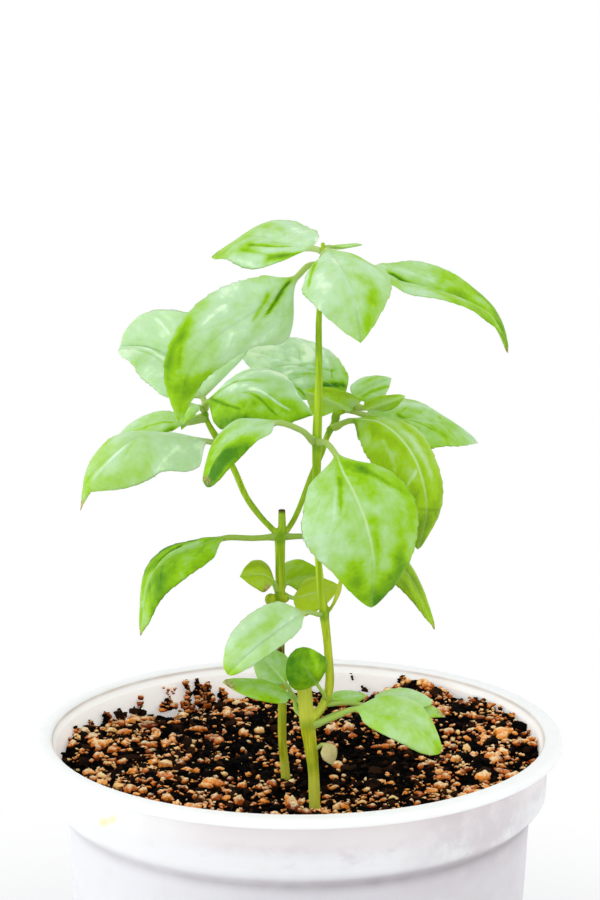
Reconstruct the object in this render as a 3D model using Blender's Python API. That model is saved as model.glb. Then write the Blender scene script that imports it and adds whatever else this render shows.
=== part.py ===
"""Potted basil: two rooted stems with their leaves, in peat, in a white plastic pot.

The origin is the middle of the pot's flat bottom. X is to the right and Y is away
from the viewer. All dimensions below are in millimetres and become metres in build_object.
"""
import math
import random

import bmesh
import bpy
from mathutils import Matrix, Vector

# Pot
POT_HEIGHT = 130.0
LIP_RADIUS = 70.0
RIM_RADIUS = 75.7
RIM_DROP = 2.8
COLLAR_RADIUS = 71.6
COLLAR_HEIGHT = 17.0
COLLAR_STEP = 3.0
BODY_TOP_RADIUS = 67.0
FOOT_RADIUS = 60.5
FOOT_BEVEL = 1.5
WALL = 1.8
FLOOR = 2.5
POT_SIDES = 64
DRAIN_RADIUS = 4.0
DRAIN_RING = 38.0
DRAIN_COUNT = 6
DRAIN_TURN = 0.53

# Soil: its depth below the rim, and its heaps as centre, spread and height
SOIL_DEPTH = 10.0
SOIL_SIDES = 40
SOIL_RINGS = 13
SOIL_HEAPS = [((34, 52), 25, 7.5), ((-42, 46), 18, 3.5), ((52, 5), 22, 2.0), ((-56, 14), 20, 2.0)]
SOIL_LUMPS = 70
LUMP_SPREAD = (3.5, 7.0)
LUMP_RISE = (-0.8, 1.5)

# Fit between pieces
GAP = 0.3

# Leaves
BLADE_THICKNESS = 0.6
RIB_THICKNESS = 0.7
STALK_RADIUS = 0.8
NARROWEST_HALF = 0.45
TOOTH_DEPTH = 0.05
TOOTH_CREST = 0.62
DRIP_WIDTH = 0.16

# Colours, linear RGB
WHITE = (0.86, 0.85, 0.84)
PEAT = (0.035, 0.022, 0.014)
STEM_GREEN = (0.36, 0.50, 0.06)
LEAF_GREEN = (0.25, 0.52, 0.09)
LEAF_PALE = (0.38, 0.62, 0.20)
LEAF_DRY = (0.45, 0.42, 0.16)

# Stems: the points that each runs through, and its radius at each point
FRONT_TRUNK = [(4.5, -40, 100), (4.5, -40, 120), (4, -40, 133), (2.5, -40, 144.5), (1.5, -40, 156)]
FRONT_TRUNK_RADII = [1.5, 1.5, 1.5, 2.0, 1.85]
FRONT_SHOOT = [(2.5, -40, 144), (5, -39.5, 147), (7, -39, 150), (8.5, -38, 155), (8, -38, 165),
               (7, -37, 174), (5.5, -37, 188), (5, -36, 203), (5, -35, 220), (5.5, -35, 238),
               (5.5, -34, 254), (6.5, -33, 269), (6.5, -33, 274)]
FRONT_SHOOT_RADII = [1.3, 1.3, 1.2, 1.15, 1.1, 1.25, 0.95, 0.95, 1.3, 1.0, 0.8, 0.9, 0.5]
REAR_TRUNK = [(-3.5, -15, 99), (-3.5, -15, 119), (-4.5, -15, 132), (-4.5, -15, 144), (-5, -15, 158),
              (-5, -15, 173), (-5, -15, 183), (-5, -15, 190.5), (-4.5, -15, 193), (-4.5, -15, 198.2)]
REAR_TRUNK_RADII = [1.3, 1.3, 1.15, 1.25, 1.25, 1.45, 1.2, 1.6, 1.1, 0.95]
REAR_LEFT = [(-5, -15, 190.5), (-8.2, -15, 193.7), (-11.3, -14, 197), (-14.6, -14, 202), (-17.7, -13, 209),
             (-21.5, -12, 216), (-25, -11, 222), (-26, -11, 226)]
REAR_LEFT_RADII = [0.9, 0.85, 0.85, 0.85, 0.9, 1.1, 0.75, 0.8]
REAR_RIGHT = [(-5, -15, 190.5), (-2.7, -14, 192.6), (0, -12, 197.2), (3.8, -10, 207), (6.5, -10, 213),
              (8, -11, 218), (10, -12, 222), (10.5, -12, 224.5), (13, -12, 225.5), (16, -12.5, 226.5)]
REAR_RIGHT_RADII = [0.85, 0.8, 0.8, 0.8, 0.8, 0.85, 1.0, 1.1, 0.8, 0.8]
FRONT = [(FRONT_TRUNK, FRONT_TRUNK_RADII), (FRONT_SHOOT, FRONT_SHOOT_RADII)]
REAR = [(REAR_TRUNK, REAR_TRUNK_RADII), (REAR_LEFT, REAR_LEFT_RADII), (REAR_RIGHT, REAR_RIGHT_RADII)]

# Round buds on the rear plant's middle node: centre and radius
BUDS = [((-7.6, -16, 172.8), 1.75), ((-3.8, -16.4, 173.5), 1.5)]
REAR += [([centre, (centre[0], centre[1], centre[2] + 0.1)], [radius, radius])
         for centre, radius in BUDS]


def material(name, colour, roughness):
    """A plain Principled material."""
    made = bpy.data.materials.new(name)
    made.use_nodes = True
    shader = made.node_tree.nodes["Principled BSDF"]
    shader.inputs["Base Color"].default_value = (*colour, 1.0)
    shader.inputs["Roughness"].default_value = roughness
    shader.inputs["Metallic"].default_value = 0.0
    made.diffuse_color = (*colour, 1.0)
    return made


def build_object(name, points, faces, finish):
    """An object from points in millimetres."""
    mesh = bpy.data.meshes.new(name)
    mesh.from_pydata([tuple(0.001 * c for c in p) for p in points], [], faces)
    mesh.materials.append(finish)
    mesh.shade_smooth()
    mesh.set_sharp_from_angle(angle=math.radians(40))
    made = bpy.data.objects.new(name, mesh)
    bpy.context.scene.collection.objects.link(made)
    return made


def combine(body, other, operation):
    """Join another solid to the body, or cut it away; the other one becomes a hidden guide."""
    boolean = body.modifiers.new(other.name, 'BOOLEAN')
    boolean.operation = operation
    boolean.solver = 'EXACT'
    boolean.object = other
    other.hide_render = True
    other.display_type = 'WIRE'


def smooth_path(points, step):
    """Places every step along a smooth curve through the points, and how far along each point is."""
    knots = [Vector(p) for p in points]
    ends = [knots[0] * 2 - knots[1]] + knots + [knots[-1] * 2 - knots[-2]]
    fine = [knots[0]]
    marks = [0]
    for i in range(len(knots) - 1):
        a, b, c, d = ends[i:i + 4]
        for k in range(1, 13):
            t = k / 12
            fine.append(0.5 * (2 * b + (c - a) * t + (2 * a - 5 * b + 4 * c - d) * t * t
                               + (3 * b - a - 3 * c + d) * t ** 3))
        marks.append(len(fine) - 1)
    run = [0.0]
    for a, b in zip(fine, fine[1:]):
        run.append(run[-1] + (b - a).length)

    def at(distance):
        distance = min(max(distance, 0.0), run[-1])
        k = next((i for i in range(1, len(run)) if run[i] >= distance), len(run) - 1)
        share = (distance - run[k - 1]) / max(run[k] - run[k - 1], 1e-9)
        return fine[k - 1].lerp(fine[k], share)

    count = max(1, round(run[-1] / step))
    return at, run[-1], [run[m] for m in marks], [run[-1] * i / count for i in range(count + 1)]


def stem_tube(name, points, radii, finish, step=5.0, sides=8):
    """A closed round stem through the points, with its radius given at each point."""
    at, length, marks, places = smooth_path(points, step)
    places = sorted(set(places + marks[1:-1]))
    places = [p for i, p in enumerate(places) if i == 0 or p - places[i - 1] > 0.8 or p in marks]
    verts, faces = [], []
    side = Vector((1.0, 0.0, 0.0))
    for place in places:
        along = (at(place + 0.4) - at(place - 0.4)).normalized()
        side = (side - along * side.dot(along)).normalized()
        other = along.cross(side)
        k = max(i for i, m in enumerate(marks) if m <= place + 1e-6)
        nxt = min(k + 1, len(marks) - 1)
        share = (place - marks[k]) / max(marks[nxt] - marks[k], 1e-9)
        radius = radii[k] + (radii[nxt] - radii[k]) * share
        for j in range(sides):
            turn = 2 * math.pi * j / sides
            verts.append(at(place) + radius * (math.cos(turn) * side + math.sin(turn) * other))
    for i in range(len(places) - 1):
        for j in range(sides):
            a, b = i * sides + j, i * sides + (j + 1) % sides
            faces.append((a, b, b + sides, a + sides))
    faces.append(tuple(reversed(range(sides))))
    faces.append(tuple(range(len(verts) - sides, len(verts))))
    return build_object(name, verts, faces, finish)


def ball(name, centre, radius, finish):
    """A small round bud."""
    shape = bmesh.new()
    bmesh.ops.create_icosphere(shape, subdivisions=1, radius=radius)
    points = [v.co + Vector(centre) for v in shape.verts]
    faces = [tuple(v.index for v in f.verts) for f in shape.faces]
    shape.free()
    return build_object(name, points, faces, finish)


def clearance(point, plant):
    """Distance from a point to the nearest stem surface of the plant."""
    best = math.inf
    for points, radii in plant:
        for a, b, radius_a, radius_b in zip(points, points[1:], radii, radii[1:]):
            a, b = Vector(a), Vector(b)
            share = min(max((point - a).dot(b - a) / (b - a).length_squared, 0.0), 1.0)
            surface = radius_a + (radius_b - radius_a) * share
            best = min(best, (point - a.lerp(b, share)).length - surface)
    return best


def seat_on_stem(start, toward, plant, stalk_radius):
    """Where a stalk that grows from start ends, just clear of the stems' surface."""
    start = Vector(start)
    way = (Vector(toward) - start).normalized()
    side = way.orthogonal().normalized() * stalk_radius
    other = way.cross(side)
    out = 0.5
    while min(clearance(start + way * out + side * math.cos(k) + other * math.sin(k), plant)
              for k in range(6)) < GAP:
        out += 0.05
    return start + way * out


def leaf(name, plant, stalk, rib, width, facing, finish, fold=15, curl=-45, belly=0.4,
         point=0.95, halves=(1.0, 1.0), teeth=6, across=4, stalk_radius=STALK_RADIUS, drip=0.0):
    """A leaf as one solid: a round stalk from the stem, then a toothed blade along its rib.

    facing is the way the upper face looks, fold the angle at which each half rises from
    the rib, and curl how far it then bends over to its edge, both in degrees. drip is the
    share of the blade that a narrow drawn-out tip takes.
    """
    start = seat_on_stem(stalk[0], (stalk + rib)[1], plant, stalk_radius)
    at, length, marks, _ = smooth_path([start] + stalk[1:] + rib, 1.0)
    base = marks[len(stalk)]
    blade = length - base
    stalk_rows = max(2, round(base / 4))
    rows = [(base * i / stalk_rows, None) for i in range(stalk_rows + 1)]
    shares = [0.02]
    for k in range(teeth):
        shares += [(k + TOOTH_CREST) / teeth, (k + 1) / teeth]
    rows += [(base + blade * t, t) for t in shares]

    def along(distance):
        return (at(distance + 0.3) - at(distance - 0.3)).normalized()

    # Frames are carried from the blade's middle to both ends, so the blade doesn't twist
    middle = min(range(len(rows)), key=lambda i: abs(rows[i][0] - base - 0.45 * blade))
    normals = [None] * len(rows)
    normals[middle] = Vector(facing)
    for order in (range(middle, len(rows)), range(middle, -1, -1)):
        carried = normals[middle]
        for i in order:
            way = along(rows[i][0])
            carried = (carried - way * carried.dot(way)).normalized()
            normals[i] = carried

    rise = belly * point / (1 - belly)
    grid = []
    for (distance, t), up in zip(rows, normals):
        way = along(distance)
        side = way.cross(up)
        centre = at(distance)
        if t is None:
            grid.append([(centre, side, up)] * (across + 1))
            continue
        main = t / (1 - drip)
        spread = (main / belly) ** rise * max((1 - main) / (1 - belly), 0.0) ** point
        if drip:
            spread = max(spread, DRIP_WIDTH * min(1.0, (1 - t) / drip))
        tooth = TOOTH_DEPTH if (shares.index(t) % 2 == 1) else -TOOTH_DEPTH
        row = []
        for j in range(across + 1):
            s = 2 * j / across - 1
            half = max(0.5 * width * spread * halves[0 if s < 0 else 1], NARROWEST_HALF)
            if abs(s) == 1:
                half *= 1 + tooth
            open_angle = math.radians(fold)
            bend = math.radians(curl if curl else 0.01)
            reach = half * (math.sin(open_angle + bend * abs(s)) - math.sin(open_angle)) / bend
            lift = half * (math.cos(open_angle) - math.cos(open_angle + bend * abs(s))) / bend
            row.append((centre + side * math.copysign(reach, s) + up * lift, side, up))
        grid.append(row)

    verts = []
    for i, row in enumerate(grid):
        t = rows[i][1]
        top, bottom = [], []
        for j, (place, side, up) in enumerate(row):
            s = 2 * j / across - 1
            if t is None:
                turn = math.radians(90 - 72 * s)
                flat = stalk_radius * (math.cos(turn) * side)
                top.append(place + flat + stalk_radius * math.sin(turn) * up)
                bottom.append(place + flat - stalk_radius * math.sin(turn) * up)
                continue
            before = grid[max(i - 1, stalk_rows + 1)][j][0]
            after = grid[min(i + 1, len(grid) - 1)][j][0]
            left, right = row[max(j - 1, 0)][0], row[min(j + 1, across)][0]
            out = (right - left).cross(after - before).normalized()
            half_thick = 0.5 * BLADE_THICKNESS
            ridge = RIB_THICKNESS * (1 - t) if s == 0 else 0.0
            top.append(place + out * half_thick)
            bottom.append(place - out * (half_thick + ridge))
        verts += top + bottom

    ring = 2 * (across + 1)
    wide = across + 1
    faces = []
    for i in range(len(grid) - 1):
        a, b = i * ring, (i + 1) * ring
        for j in range(across):
            if j < across / 2:
                faces += [(a + j, a + j + 1, b + j), (a + j + 1, b + j + 1, b + j)]
                faces += [(a + wide + j + 1, a + wide + j, b + wide + j),
                          (a + wide + j + 1, b + wide + j, b + wide + j + 1)]
            else:
                faces += [(a + j, a + j + 1, b + j + 1), (a + j, b + j + 1, b + j)]
                faces += [(a + wide + j + 1, a + wide + j, b + wide + j + 1),
                          (a + wide + j, b + wide + j, b + wide + j + 1)]
        faces.append((a + across, a + wide + across, b + wide + across, b + across))
        faces.append((a + wide, a, b, b + wide))
    last = len(verts) - ring
    for j in range(across):
        faces.append((j + 1, j, wide + j, wide + j + 1))
        faces.append((last + j, last + j + 1, last + wide + j + 1, last + wide + j))
    return build_object(name, verts, faces, finish)


def turned(name, profile, finish, sides=POT_SIDES):
    """A turned solid; the profile of (radius, height) starts and ends on the axis."""
    verts = [(0.0, 0.0, profile[0][1]), (0.0, 0.0, profile[-1][1])]
    faces = []
    for radius, height in profile[1:-1]:
        verts += [(radius * math.cos(2 * math.pi * j / sides),
                   radius * math.sin(2 * math.pi * j / sides), height) for j in range(sides)]
    rings = len(profile) - 2
    for j in range(sides):
        k = (j + 1) % sides
        faces.append((0, 2 + k, 2 + j))
        faces.append((1, 2 + (rings - 1) * sides + j, 2 + (rings - 1) * sides + k))
        for i in range(rings - 1):
            a, b = 2 + i * sides, 2 + (i + 1) * sides
            faces.append((a + j, a + k, b + k, b + j))
    return build_object(name, verts, faces, finish)


def rods(name, feet, top, radius, finish, sides=12):
    """One cutter of straight round rods, each standing on its foot."""
    shape = bmesh.new()
    for foot in feet:
        rise = top - foot[2]
        place = Matrix.Translation((foot[0], foot[1], foot[2] + rise / 2))
        bmesh.ops.create_cone(shape, cap_ends=True, segments=sides, radius1=radius, radius2=radius,
                              depth=rise, matrix=place)
    shape.verts.index_update()
    points = [v.co.copy() for v in shape.verts]
    faces = [tuple(v.index for v in f.verts) for f in shape.faces]
    shape.free()
    return build_object(name, points, faces, finish)


def inner_wall(z):
    """Radius of the pot's inside at height z."""
    step_top = POT_HEIGHT - COLLAR_HEIGHT
    step_bottom = step_top - COLLAR_STEP
    upper = LIP_RADIUS - 0.4 - 0.3 * (POT_HEIGHT - z) / COLLAR_HEIGHT
    lower = FOOT_RADIUS - WALL + (BODY_TOP_RADIUS - FOOT_RADIUS) * z / step_bottom
    if z >= step_top:
        return upper
    if z <= step_bottom:
        return lower
    return lower + (upper - lower) * (z - step_bottom) / (step_top - step_bottom)


def build_pot(finish):
    """The white plastic pot with its rolled rim, collar and six drain holes."""
    top = POT_HEIGHT
    collar_foot = top - COLLAR_HEIGHT
    outside = [(0, 0), (FOOT_RADIUS - FOOT_BEVEL, 0), (FOOT_RADIUS, FOOT_BEVEL),
               (BODY_TOP_RADIUS, collar_foot - 2),
               (COLLAR_RADIUS - 1.6, collar_foot - 1), (COLLAR_RADIUS - 0.3, collar_foot + 1.5),
               (COLLAR_RADIUS + 0.3, top - RIM_DROP - 0.6), (RIM_RADIUS - 0.6, top - RIM_DROP),
               (RIM_RADIUS, top - RIM_DROP + 0.6), (RIM_RADIUS - 0.3, top - 1.0),
               (RIM_RADIUS - 1.6, top - 0.2), (LIP_RADIUS + 1.5, top), (LIP_RADIUS, top - 0.8)]
    inside = [(inner_wall(z), z) for z in (top - 3, collar_foot, collar_foot - COLLAR_STEP, FLOOR)]
    pot = turned("pot", outside + inside + [(0, FLOOR)], finish)
    turns = [2 * math.pi * (k + DRAIN_TURN) / DRAIN_COUNT for k in range(DRAIN_COUNT)]
    feet = [(DRAIN_RING * math.cos(turn), DRAIN_RING * math.sin(turn), -1.0) for turn in turns]
    combine(pot, rods("drain_holes", feet, FLOOR + 1, DRAIN_RADIUS, finish), 'DIFFERENCE')


def soil_height(x, y, lumps):
    """Height of the peat's surface above the pot's bottom, with its heaps and small lumps."""
    height = POT_HEIGHT - SOIL_DEPTH
    for (heap_x, heap_y), spread, rise in SOIL_HEAPS + lumps:
        height += rise * math.exp(-((x - heap_x) ** 2 + (y - heap_y) ** 2) / spread ** 2)
    return height


def build_soil(finish):
    """The peat that fills the pot, with a hole for each rooted stem."""
    draw = random.Random(7)
    lumps = []
    for _ in range(SOIL_LUMPS):
        turn, out = draw.uniform(0, 2 * math.pi), BODY_TOP_RADIUS * math.sqrt(draw.random())
        lumps.append(((out * math.cos(turn), out * math.sin(turn)), draw.uniform(*LUMP_SPREAD),
                      draw.uniform(*LUMP_RISE)))
    edge = inner_wall(POT_HEIGHT - SOIL_DEPTH) - GAP
    collar_foot = POT_HEIGHT - COLLAR_HEIGHT
    verts = [(0, 0, soil_height(0, 0, lumps))]
    for i in range(1, SOIL_RINGS + 1):
        for j in range(SOIL_SIDES):
            turn = 2 * math.pi * (j + 0.5 * (i % 2)) / SOIL_SIDES
            out = edge * i / SOIL_RINGS
            x, y = out * math.cos(turn), out * math.sin(turn)
            verts.append((x, y, soil_height(x, y, lumps)))
    shift = 0.5 * (SOIL_RINGS % 2)
    for z in (collar_foot, collar_foot - COLLAR_STEP, FLOOR + GAP):
        for j in range(SOIL_SIDES):
            turn = 2 * math.pi * (j + shift) / SOIL_SIDES
            out = inner_wall(z) - GAP
            verts.append((out * math.cos(turn), out * math.sin(turn), z))
    verts.append((0, 0, FLOOR + GAP))
    faces = []
    for j in range(SOIL_SIDES):
        k = (j + 1) % SOIL_SIDES
        faces.append((0, 1 + j, 1 + k))
        for i in range(SOIL_RINGS + 2):
            a, b = 1 + i * SOIL_SIDES, 1 + (i + 1) * SOIL_SIDES
            if i < SOIL_RINGS - 1 and i % 2 == 0:
                faces += [(a + j, b + j, a + k), (a + k, b + j, b + k)]
            elif i < SOIL_RINGS - 1:
                faces += [(a + j, b + j, b + k), (a + j, b + k, a + k)]
            else:
                faces.append((a + j, b + j, b + k, a + k))
        last = 1 + (SOIL_RINGS + 2) * SOIL_SIDES
        faces.append((last + k, last + j, len(verts) - 1))
    soil = build_object("soil", verts, faces, finish)
    feet = [(x, y, z - GAP) for x, y, z in (FRONT_TRUNK[0], REAR_TRUNK[0])]
    reach = max(FRONT_TRUNK_RADII[0], REAR_TRUNK_RADII[0]) + GAP
    combine(soil, rods("root_holes", feet, POT_HEIGHT + 20, reach, finish), 'DIFFERENCE')


def build_stems(finish):
    """Each plant's stem, with its branches joined on in one solid."""
    front = stem_tube("stem_front", FRONT_TRUNK, FRONT_TRUNK_RADII, finish)
    combine(front, stem_tube("front_shoot", FRONT_SHOOT, FRONT_SHOOT_RADII, finish), 'UNION')
    rear = stem_tube("stem_rear", REAR_TRUNK, REAR_TRUNK_RADII, finish)
    combine(rear, stem_tube("rear_left_branch", REAR_LEFT, REAR_LEFT_RADII, finish), 'UNION')
    combine(rear, stem_tube("rear_right_branch", REAR_RIGHT, REAR_RIGHT_RADII, finish), 'UNION')
    for k, (centre, radius) in enumerate(BUDS):
        combine(rear, ball(f"bud_{k}", centre, radius, finish), 'UNION')


def build_leaves(green, pale, dry):
    """Every leaf, by the shoot that it grows on."""
    # Top of the front plant
    top = dict(plant=FRONT)
    leaf("leaf_top_back", stalk=[(6.5, -32.5, 271.5)],
         rib=[(4, -28, 271.8), (-3.5, -18, 272.2), (-13, -8, 273), (-24.3, 4, 266.2)],
         width=24, facing=(0, -0.57, 0.82), finish=green, fold=10, curl=-35, belly=0.46, point=1.0,
         **top)
    leaf("leaf_top_front", stalk=[(6.5, -33, 270.5)],
         rib=[(8, -40, 272.5), (11, -50, 269.5), (14.2, -57, 262), (16, -58, 251)],
         width=27, facing=(0.15, -0.9, 0.4), finish=green, fold=10, curl=-60, belly=0.44,
         halves=(1.0, 0.92), **top)
    leaf("leaf_top_left", stalk=[(6.5, -33, 268.5), (2.5, -36, 268)],
         rib=[(-0.5, -37.5, 265.2), (-8.7, -43, 258.4), (-21, -48, 250.8), (-28, -51, 242),
              (-31, -50, 229)],
         width=28, facing=(0.35, -0.9, 0.05), finish=green, fold=10, curl=-80, belly=0.42,
         halves=(0.77, 0.83), **top)
    leaf("leaf_top_right", stalk=[(6.5, -33, 268.5), (12.5, -30, 269)],
         rib=[(17.5, -28, 266.5), (26, -25, 263.1), (38, -22, 259.8), (49.5, -19, 254.7), (54.2, -18, 249.3),
              (57.4, -17, 242.3)],
         width=20, belly=0.45, facing=(0.1, -0.35, 0.93), finish=green, fold=25, curl=-30, **top)
    leaf("leaf_top_young", stalk=[(6.5, -32.5, 272.5)],
         rib=[(9, -29, 272.5), (12.5, -27, 272.5), (17, -26, 273)],
         width=5, facing=(0, 0, 1), finish=pale, teeth=3, across=2, stalk_radius=0.5, **top)

    # Left branch of the rear plant
    left = dict(plant=REAR)
    leaf("leaf_left_back", stalk=[(-26, -11, 225.5)],
         rib=[(-26.5, -6, 228), (-32.5, 1, 235), (-41, 6, 240), (-50.5, 9, 240.5)],
         width=30, facing=(-0.2, -0.6, 0.77), finish=pale, fold=30, curl=-30, halves=(0.77, 0.98),
         point=0.45, belly=0.37, **left)
    leaf("leaf_left_inner", stalk=[(-26, -11, 225.5)],
         rib=[(-24.5, -15, 228.5), (-19, -20, 231.5), (-11, -24, 233), (-3.5, -28, 230),
              (4, -30, 227.5)],
         width=23, facing=(0.1, -0.7, 0.7), finish=green, fold=5, curl=-40, belly=0.36, **left)
    leaf("leaf_left_front", stalk=[(-21.5, -12, 216)],
         rib=[(-25.5, -18, 218), (-33, -26, 220.5), (-42, -33, 222), (-48, -37, 219),
              (-55.5, -38, 211.5), (-58.5, -36, 202.5)],
         width=25, facing=(-0.3, -0.65, 0.7), finish=pale, fold=0, curl=-60, belly=0.44, point=0.55,
         drip=0.12, halves=(0.97, 0.78), **left)
    leaf("leaf_left_upper", stalk=[(-25.5, -11, 223), (-28.5, -13, 222.5)],
         rib=[(-31, -13, 222.2), (-37.5, -12, 222.7), (-45.5, -11, 220), (-52, -10, 215)],
         width=10, facing=(-0.1, -0.5, 0.86), finish=pale, teeth=4, **left)
    leaf("leaf_left_young_front", stalk=[(-26, -11, 225)],
         rib=[(-27.5, -15, 227.3), (-30, -18, 227.3), (-31.5, -20, 223)],
         width=6.5, facing=(-0.4, -0.8, 0.4), finish=pale, teeth=3, across=2, stalk_radius=0.5, **left)
    leaf("leaf_left_young_back", stalk=[(-26, -11, 224)],
         rib=[(-28, -10, 223.5), (-30.5, -10, 223), (-32.5, -11, 220)],
         width=4.5, facing=(-0.3, -0.5, 0.8), finish=pale, teeth=3, across=2, stalk_radius=0.5,
         **left)

    # Upper node of the front plant
    node = dict(plant=FRONT)
    leaf("leaf_mid_left", stalk=[(5, -35, 220.5), (0.5, -39, 225)],
         rib=[(-6, -42, 227.5), (-14.4, -45, 225.8), (-20.6, -46, 220.6), (-24.7, -45, 211.4)],
         width=16.5, facing=(-0.5, -0.35, 0.8), finish=green, teeth=5, belly=0.5, point=0.45, **node)
    leaf("leaf_mid_front", stalk=[(5, -35, 221), (7.5, -45, 222.5)],
         rib=[(10, -52, 220.5), (11.5, -57, 217.5), (14.5, -62, 212.5), (17.5, -66, 205.5),
              (19.5, -65, 194.5), (19, -60, 181.9)],
         width=31, facing=(0.05, -0.95, 0.3), finish=green, fold=8, curl=-50, belly=0.43, point=0.85,
         halves=(0.98, 1.14), **node)

    # Right branch of the rear plant
    right = dict(plant=REAR)
    leaf("leaf_right_far", stalk=[(10.5, -12, 224.5)],
         rib=[(12.8, -7, 228.3), (5.8, -2, 233.3), (-3.5, 4, 237), (-17.8, 9, 239.6)],
         width=24, facing=(0.1, -0.6, 0.8), finish=green, belly=0.45, halves=(0.9, 0.98), **right)
    leaf("leaf_right_under", stalk=[(13.5, -12, 225.7)],
         rib=[(14, -15.5, 226.8), (11.5, -18, 228.5), (7, -21, 231), (1.5, -23, 233)],
         width=17, facing=(0.1, 0.62, 0.78), finish=green, teeth=4, **right)
    leaf("leaf_right_pale", stalk=[(16, -12.5, 226.5)],
         rib=[(16, -8.5, 228), (20, -5, 230.5), (26, -2, 233)],
         width=10, facing=(0, -0.7, 0.7), finish=pale, teeth=4, across=2, **right)
    leaf("leaf_right_young", stalk=[(16, -13, 226.5)],
         rib=[(18.5, -16, 227), (23, -19, 229), (29, -22, 231.5)],
         width=9, facing=(0, 0.6, 0.8), finish=green, teeth=4, across=2, **right)
    leaf("leaf_right_back", stalk=[(14, -12.2, 225.8)],
         rib=[(19, -7.5, 223.3), (28.5, -2, 221.5), (40.5, 4, 218.6), (51.5, 9, 212.5)],
         width=22, facing=(0.1, -0.5, 0.86), finish=green, **right)
    leaf("leaf_right_front", stalk=[(9.5, -12, 220.5), (12.5, -15, 222.5)],
         rib=[(15, -17, 223.5), (21.5, -24, 224.5), (28, -30, 220.5), (32.5, -33, 213),
              (34.5, -34, 202), (32.5, -31, 190.5)],
         width=26, facing=(0.42, -0.8, 0.3), finish=green, fold=8, curl=-70, belly=0.46, point=0.78,
         halves=(0.78, 0.88), **right)

    # Upper node of the rear plant
    node = dict(plant=REAR)
    leaf("leaf_rear_left", stalk=[(-5, -15, 190.5), (-12.5, -17, 190.5)],
         rib=[(-20.5, -19, 191), (-28.2, -21, 188.9), (-35.6, -23, 186.2), (-41, -24, 179.6),
              (-43.9, -22, 164)],
         width=20, facing=(-0.5, -0.4, 0.75), finish=green, halves=(1.04, 0.58), **node)
    leaf("leaf_rear_right", stalk=[(-5, -15, 190.5), (3.5, -13, 190)],
         rib=[(11, -12, 188), (20.5, -10, 186), (30.8, -8, 178), (39, -6, 161.5)],
         width=19, facing=(0.5, -0.4, 0.75), finish=green, halves=(0.8, 0.8), **node)

    # Middle node of the rear plant
    node = dict(plant=REAR, teeth=3, across=2, stalk_radius=0.6)
    leaf("leaf_bud_left", stalk=[(-5, -15, 174)],
         rib=[(-6.8, -16.5, 178), (-10, -18.5, 180.6), (-16, -20.5, 180.6)],
         width=11, facing=(0, -0.7, 0.7), finish=pale, **node)
    leaf("leaf_bud_back", stalk=[(-5, -15, 174)],
         rib=[(-3.4, -11, 176.1), (-0.5, -8.5, 177), (7, -7, 178.2)],
         width=13, facing=(0, -0.7, 0.7), finish=green, **node)
    leaf("leaf_bud_right", stalk=[(-5, -15, 174.5)],
         rib=[(-1.2, -18, 173.8), (4, -20, 175.6), (11.5, -21, 178)],
         width=14, belly=0.33, facing=(0, -0.6, 0.8), finish=pale, **node)

    # Lower nodes of the front plant
    leaf("leaf_low_left", plant=FRONT, stalk=[(7, -37, 174)],
         rib=[(1.5, -41, 175.5), (-5.5, -46, 172), (-12.5, -50, 167.5), (-18.9, -49, 160.9)],
         width=16, facing=(0.05, -0.85, 0.5), finish=pale, halves=(0.5, 1.08), point=0.5,
         stalk_radius=0.6)
    leaf("leaf_low_round", plant=FRONT, stalk=[(7.5, -39, 151), (6.5, -42, 154)],
         rib=[(5, -43, 156.5), (2.5, -47, 161.5), (-0.5, -46, 167.1)],
         width=12.5, point=0.5, facing=(0, -0.9, 0.4), finish=green, teeth=4, across=2, stalk_radius=0.5)
    leaf("leaf_low_inner", plant=FRONT, stalk=[(2, -40, 149), (-1, -37, 151)],
         rib=[(-3.5, -34, 154), (-7, -31, 157.5), (-12, -29, 162.5)],
         width=10.5, facing=(0, -0.9, 0.4), finish=green, teeth=4, across=2, stalk_radius=0.6)
    leaf("leaf_low_ground", plant=FRONT,
         stalk=[(2.5, -40, 145), (-0.5, -38.5, 148)],
         rib=[(-2, -38, 151.5), (-10, -41, 155), (-20.3, -42.5, 157)],
         width=12, facing=(0, -0.25, 0.97), point=0.7, finish=green, teeth=4, across=2, stalk_radius=0.6)
    leaf("leaf_low_small", plant=FRONT, stalk=[(7.5, -39, 151.5)],
         rib=[(9.5, -35, 149.5), (13.5, -31, 149.5), (19, -28, 149)],
         width=8, facing=(0, -0.3, 0.95), finish=green, teeth=3, across=2, stalk_radius=0.6)
    leaf("leaf_low_right", plant=FRONT, stalk=[(3, -40.3, 143.5), (10, -42, 147)],
         rib=[(15.5, -43, 149.5), (23, -46, 149.5), (31.5, -47, 146.5), (38.5, -45, 138)],
         width=15.5, belly=0.5, point=0.7, facing=(0.1, -0.6, 0.8), finish=pale)
    leaf("leaf_low_back", plant=FRONT, stalk=[(7, -39, 149.5), (13.5, -36, 149)],
         rib=[(20.5, -33, 147.5), (30, -29, 148.5), (37, -26, 146.5)],
         width=10, point=0.6, facing=(0, -0.5, 0.86), finish=pale, teeth=4, across=2, stalk_radius=0.6)
    leaf("leaf_low_curled", plant=FRONT,
         stalk=[(3, -38.5, 143.5), (12.5, -35, 146.5), (23.5, -31, 146)],
         rib=[(29.5, -29, 144.5), (36, -26, 144), (41, -24, 141.5)],
         width=6, facing=(0, -0.6, 0.8), finish=pale, teeth=3, across=2, stalk_radius=0.5)
    leaf("leaf_dry", plant=FRONT, stalk=[(4, -40, 137)],
         rib=[(7, -41, 139), (8.5, -42, 137), (9.5, -41, 133)],
         width=5, facing=(0.4, -0.9, 0.2), finish=dry, teeth=3, across=2, stalk_radius=0.5)


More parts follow.
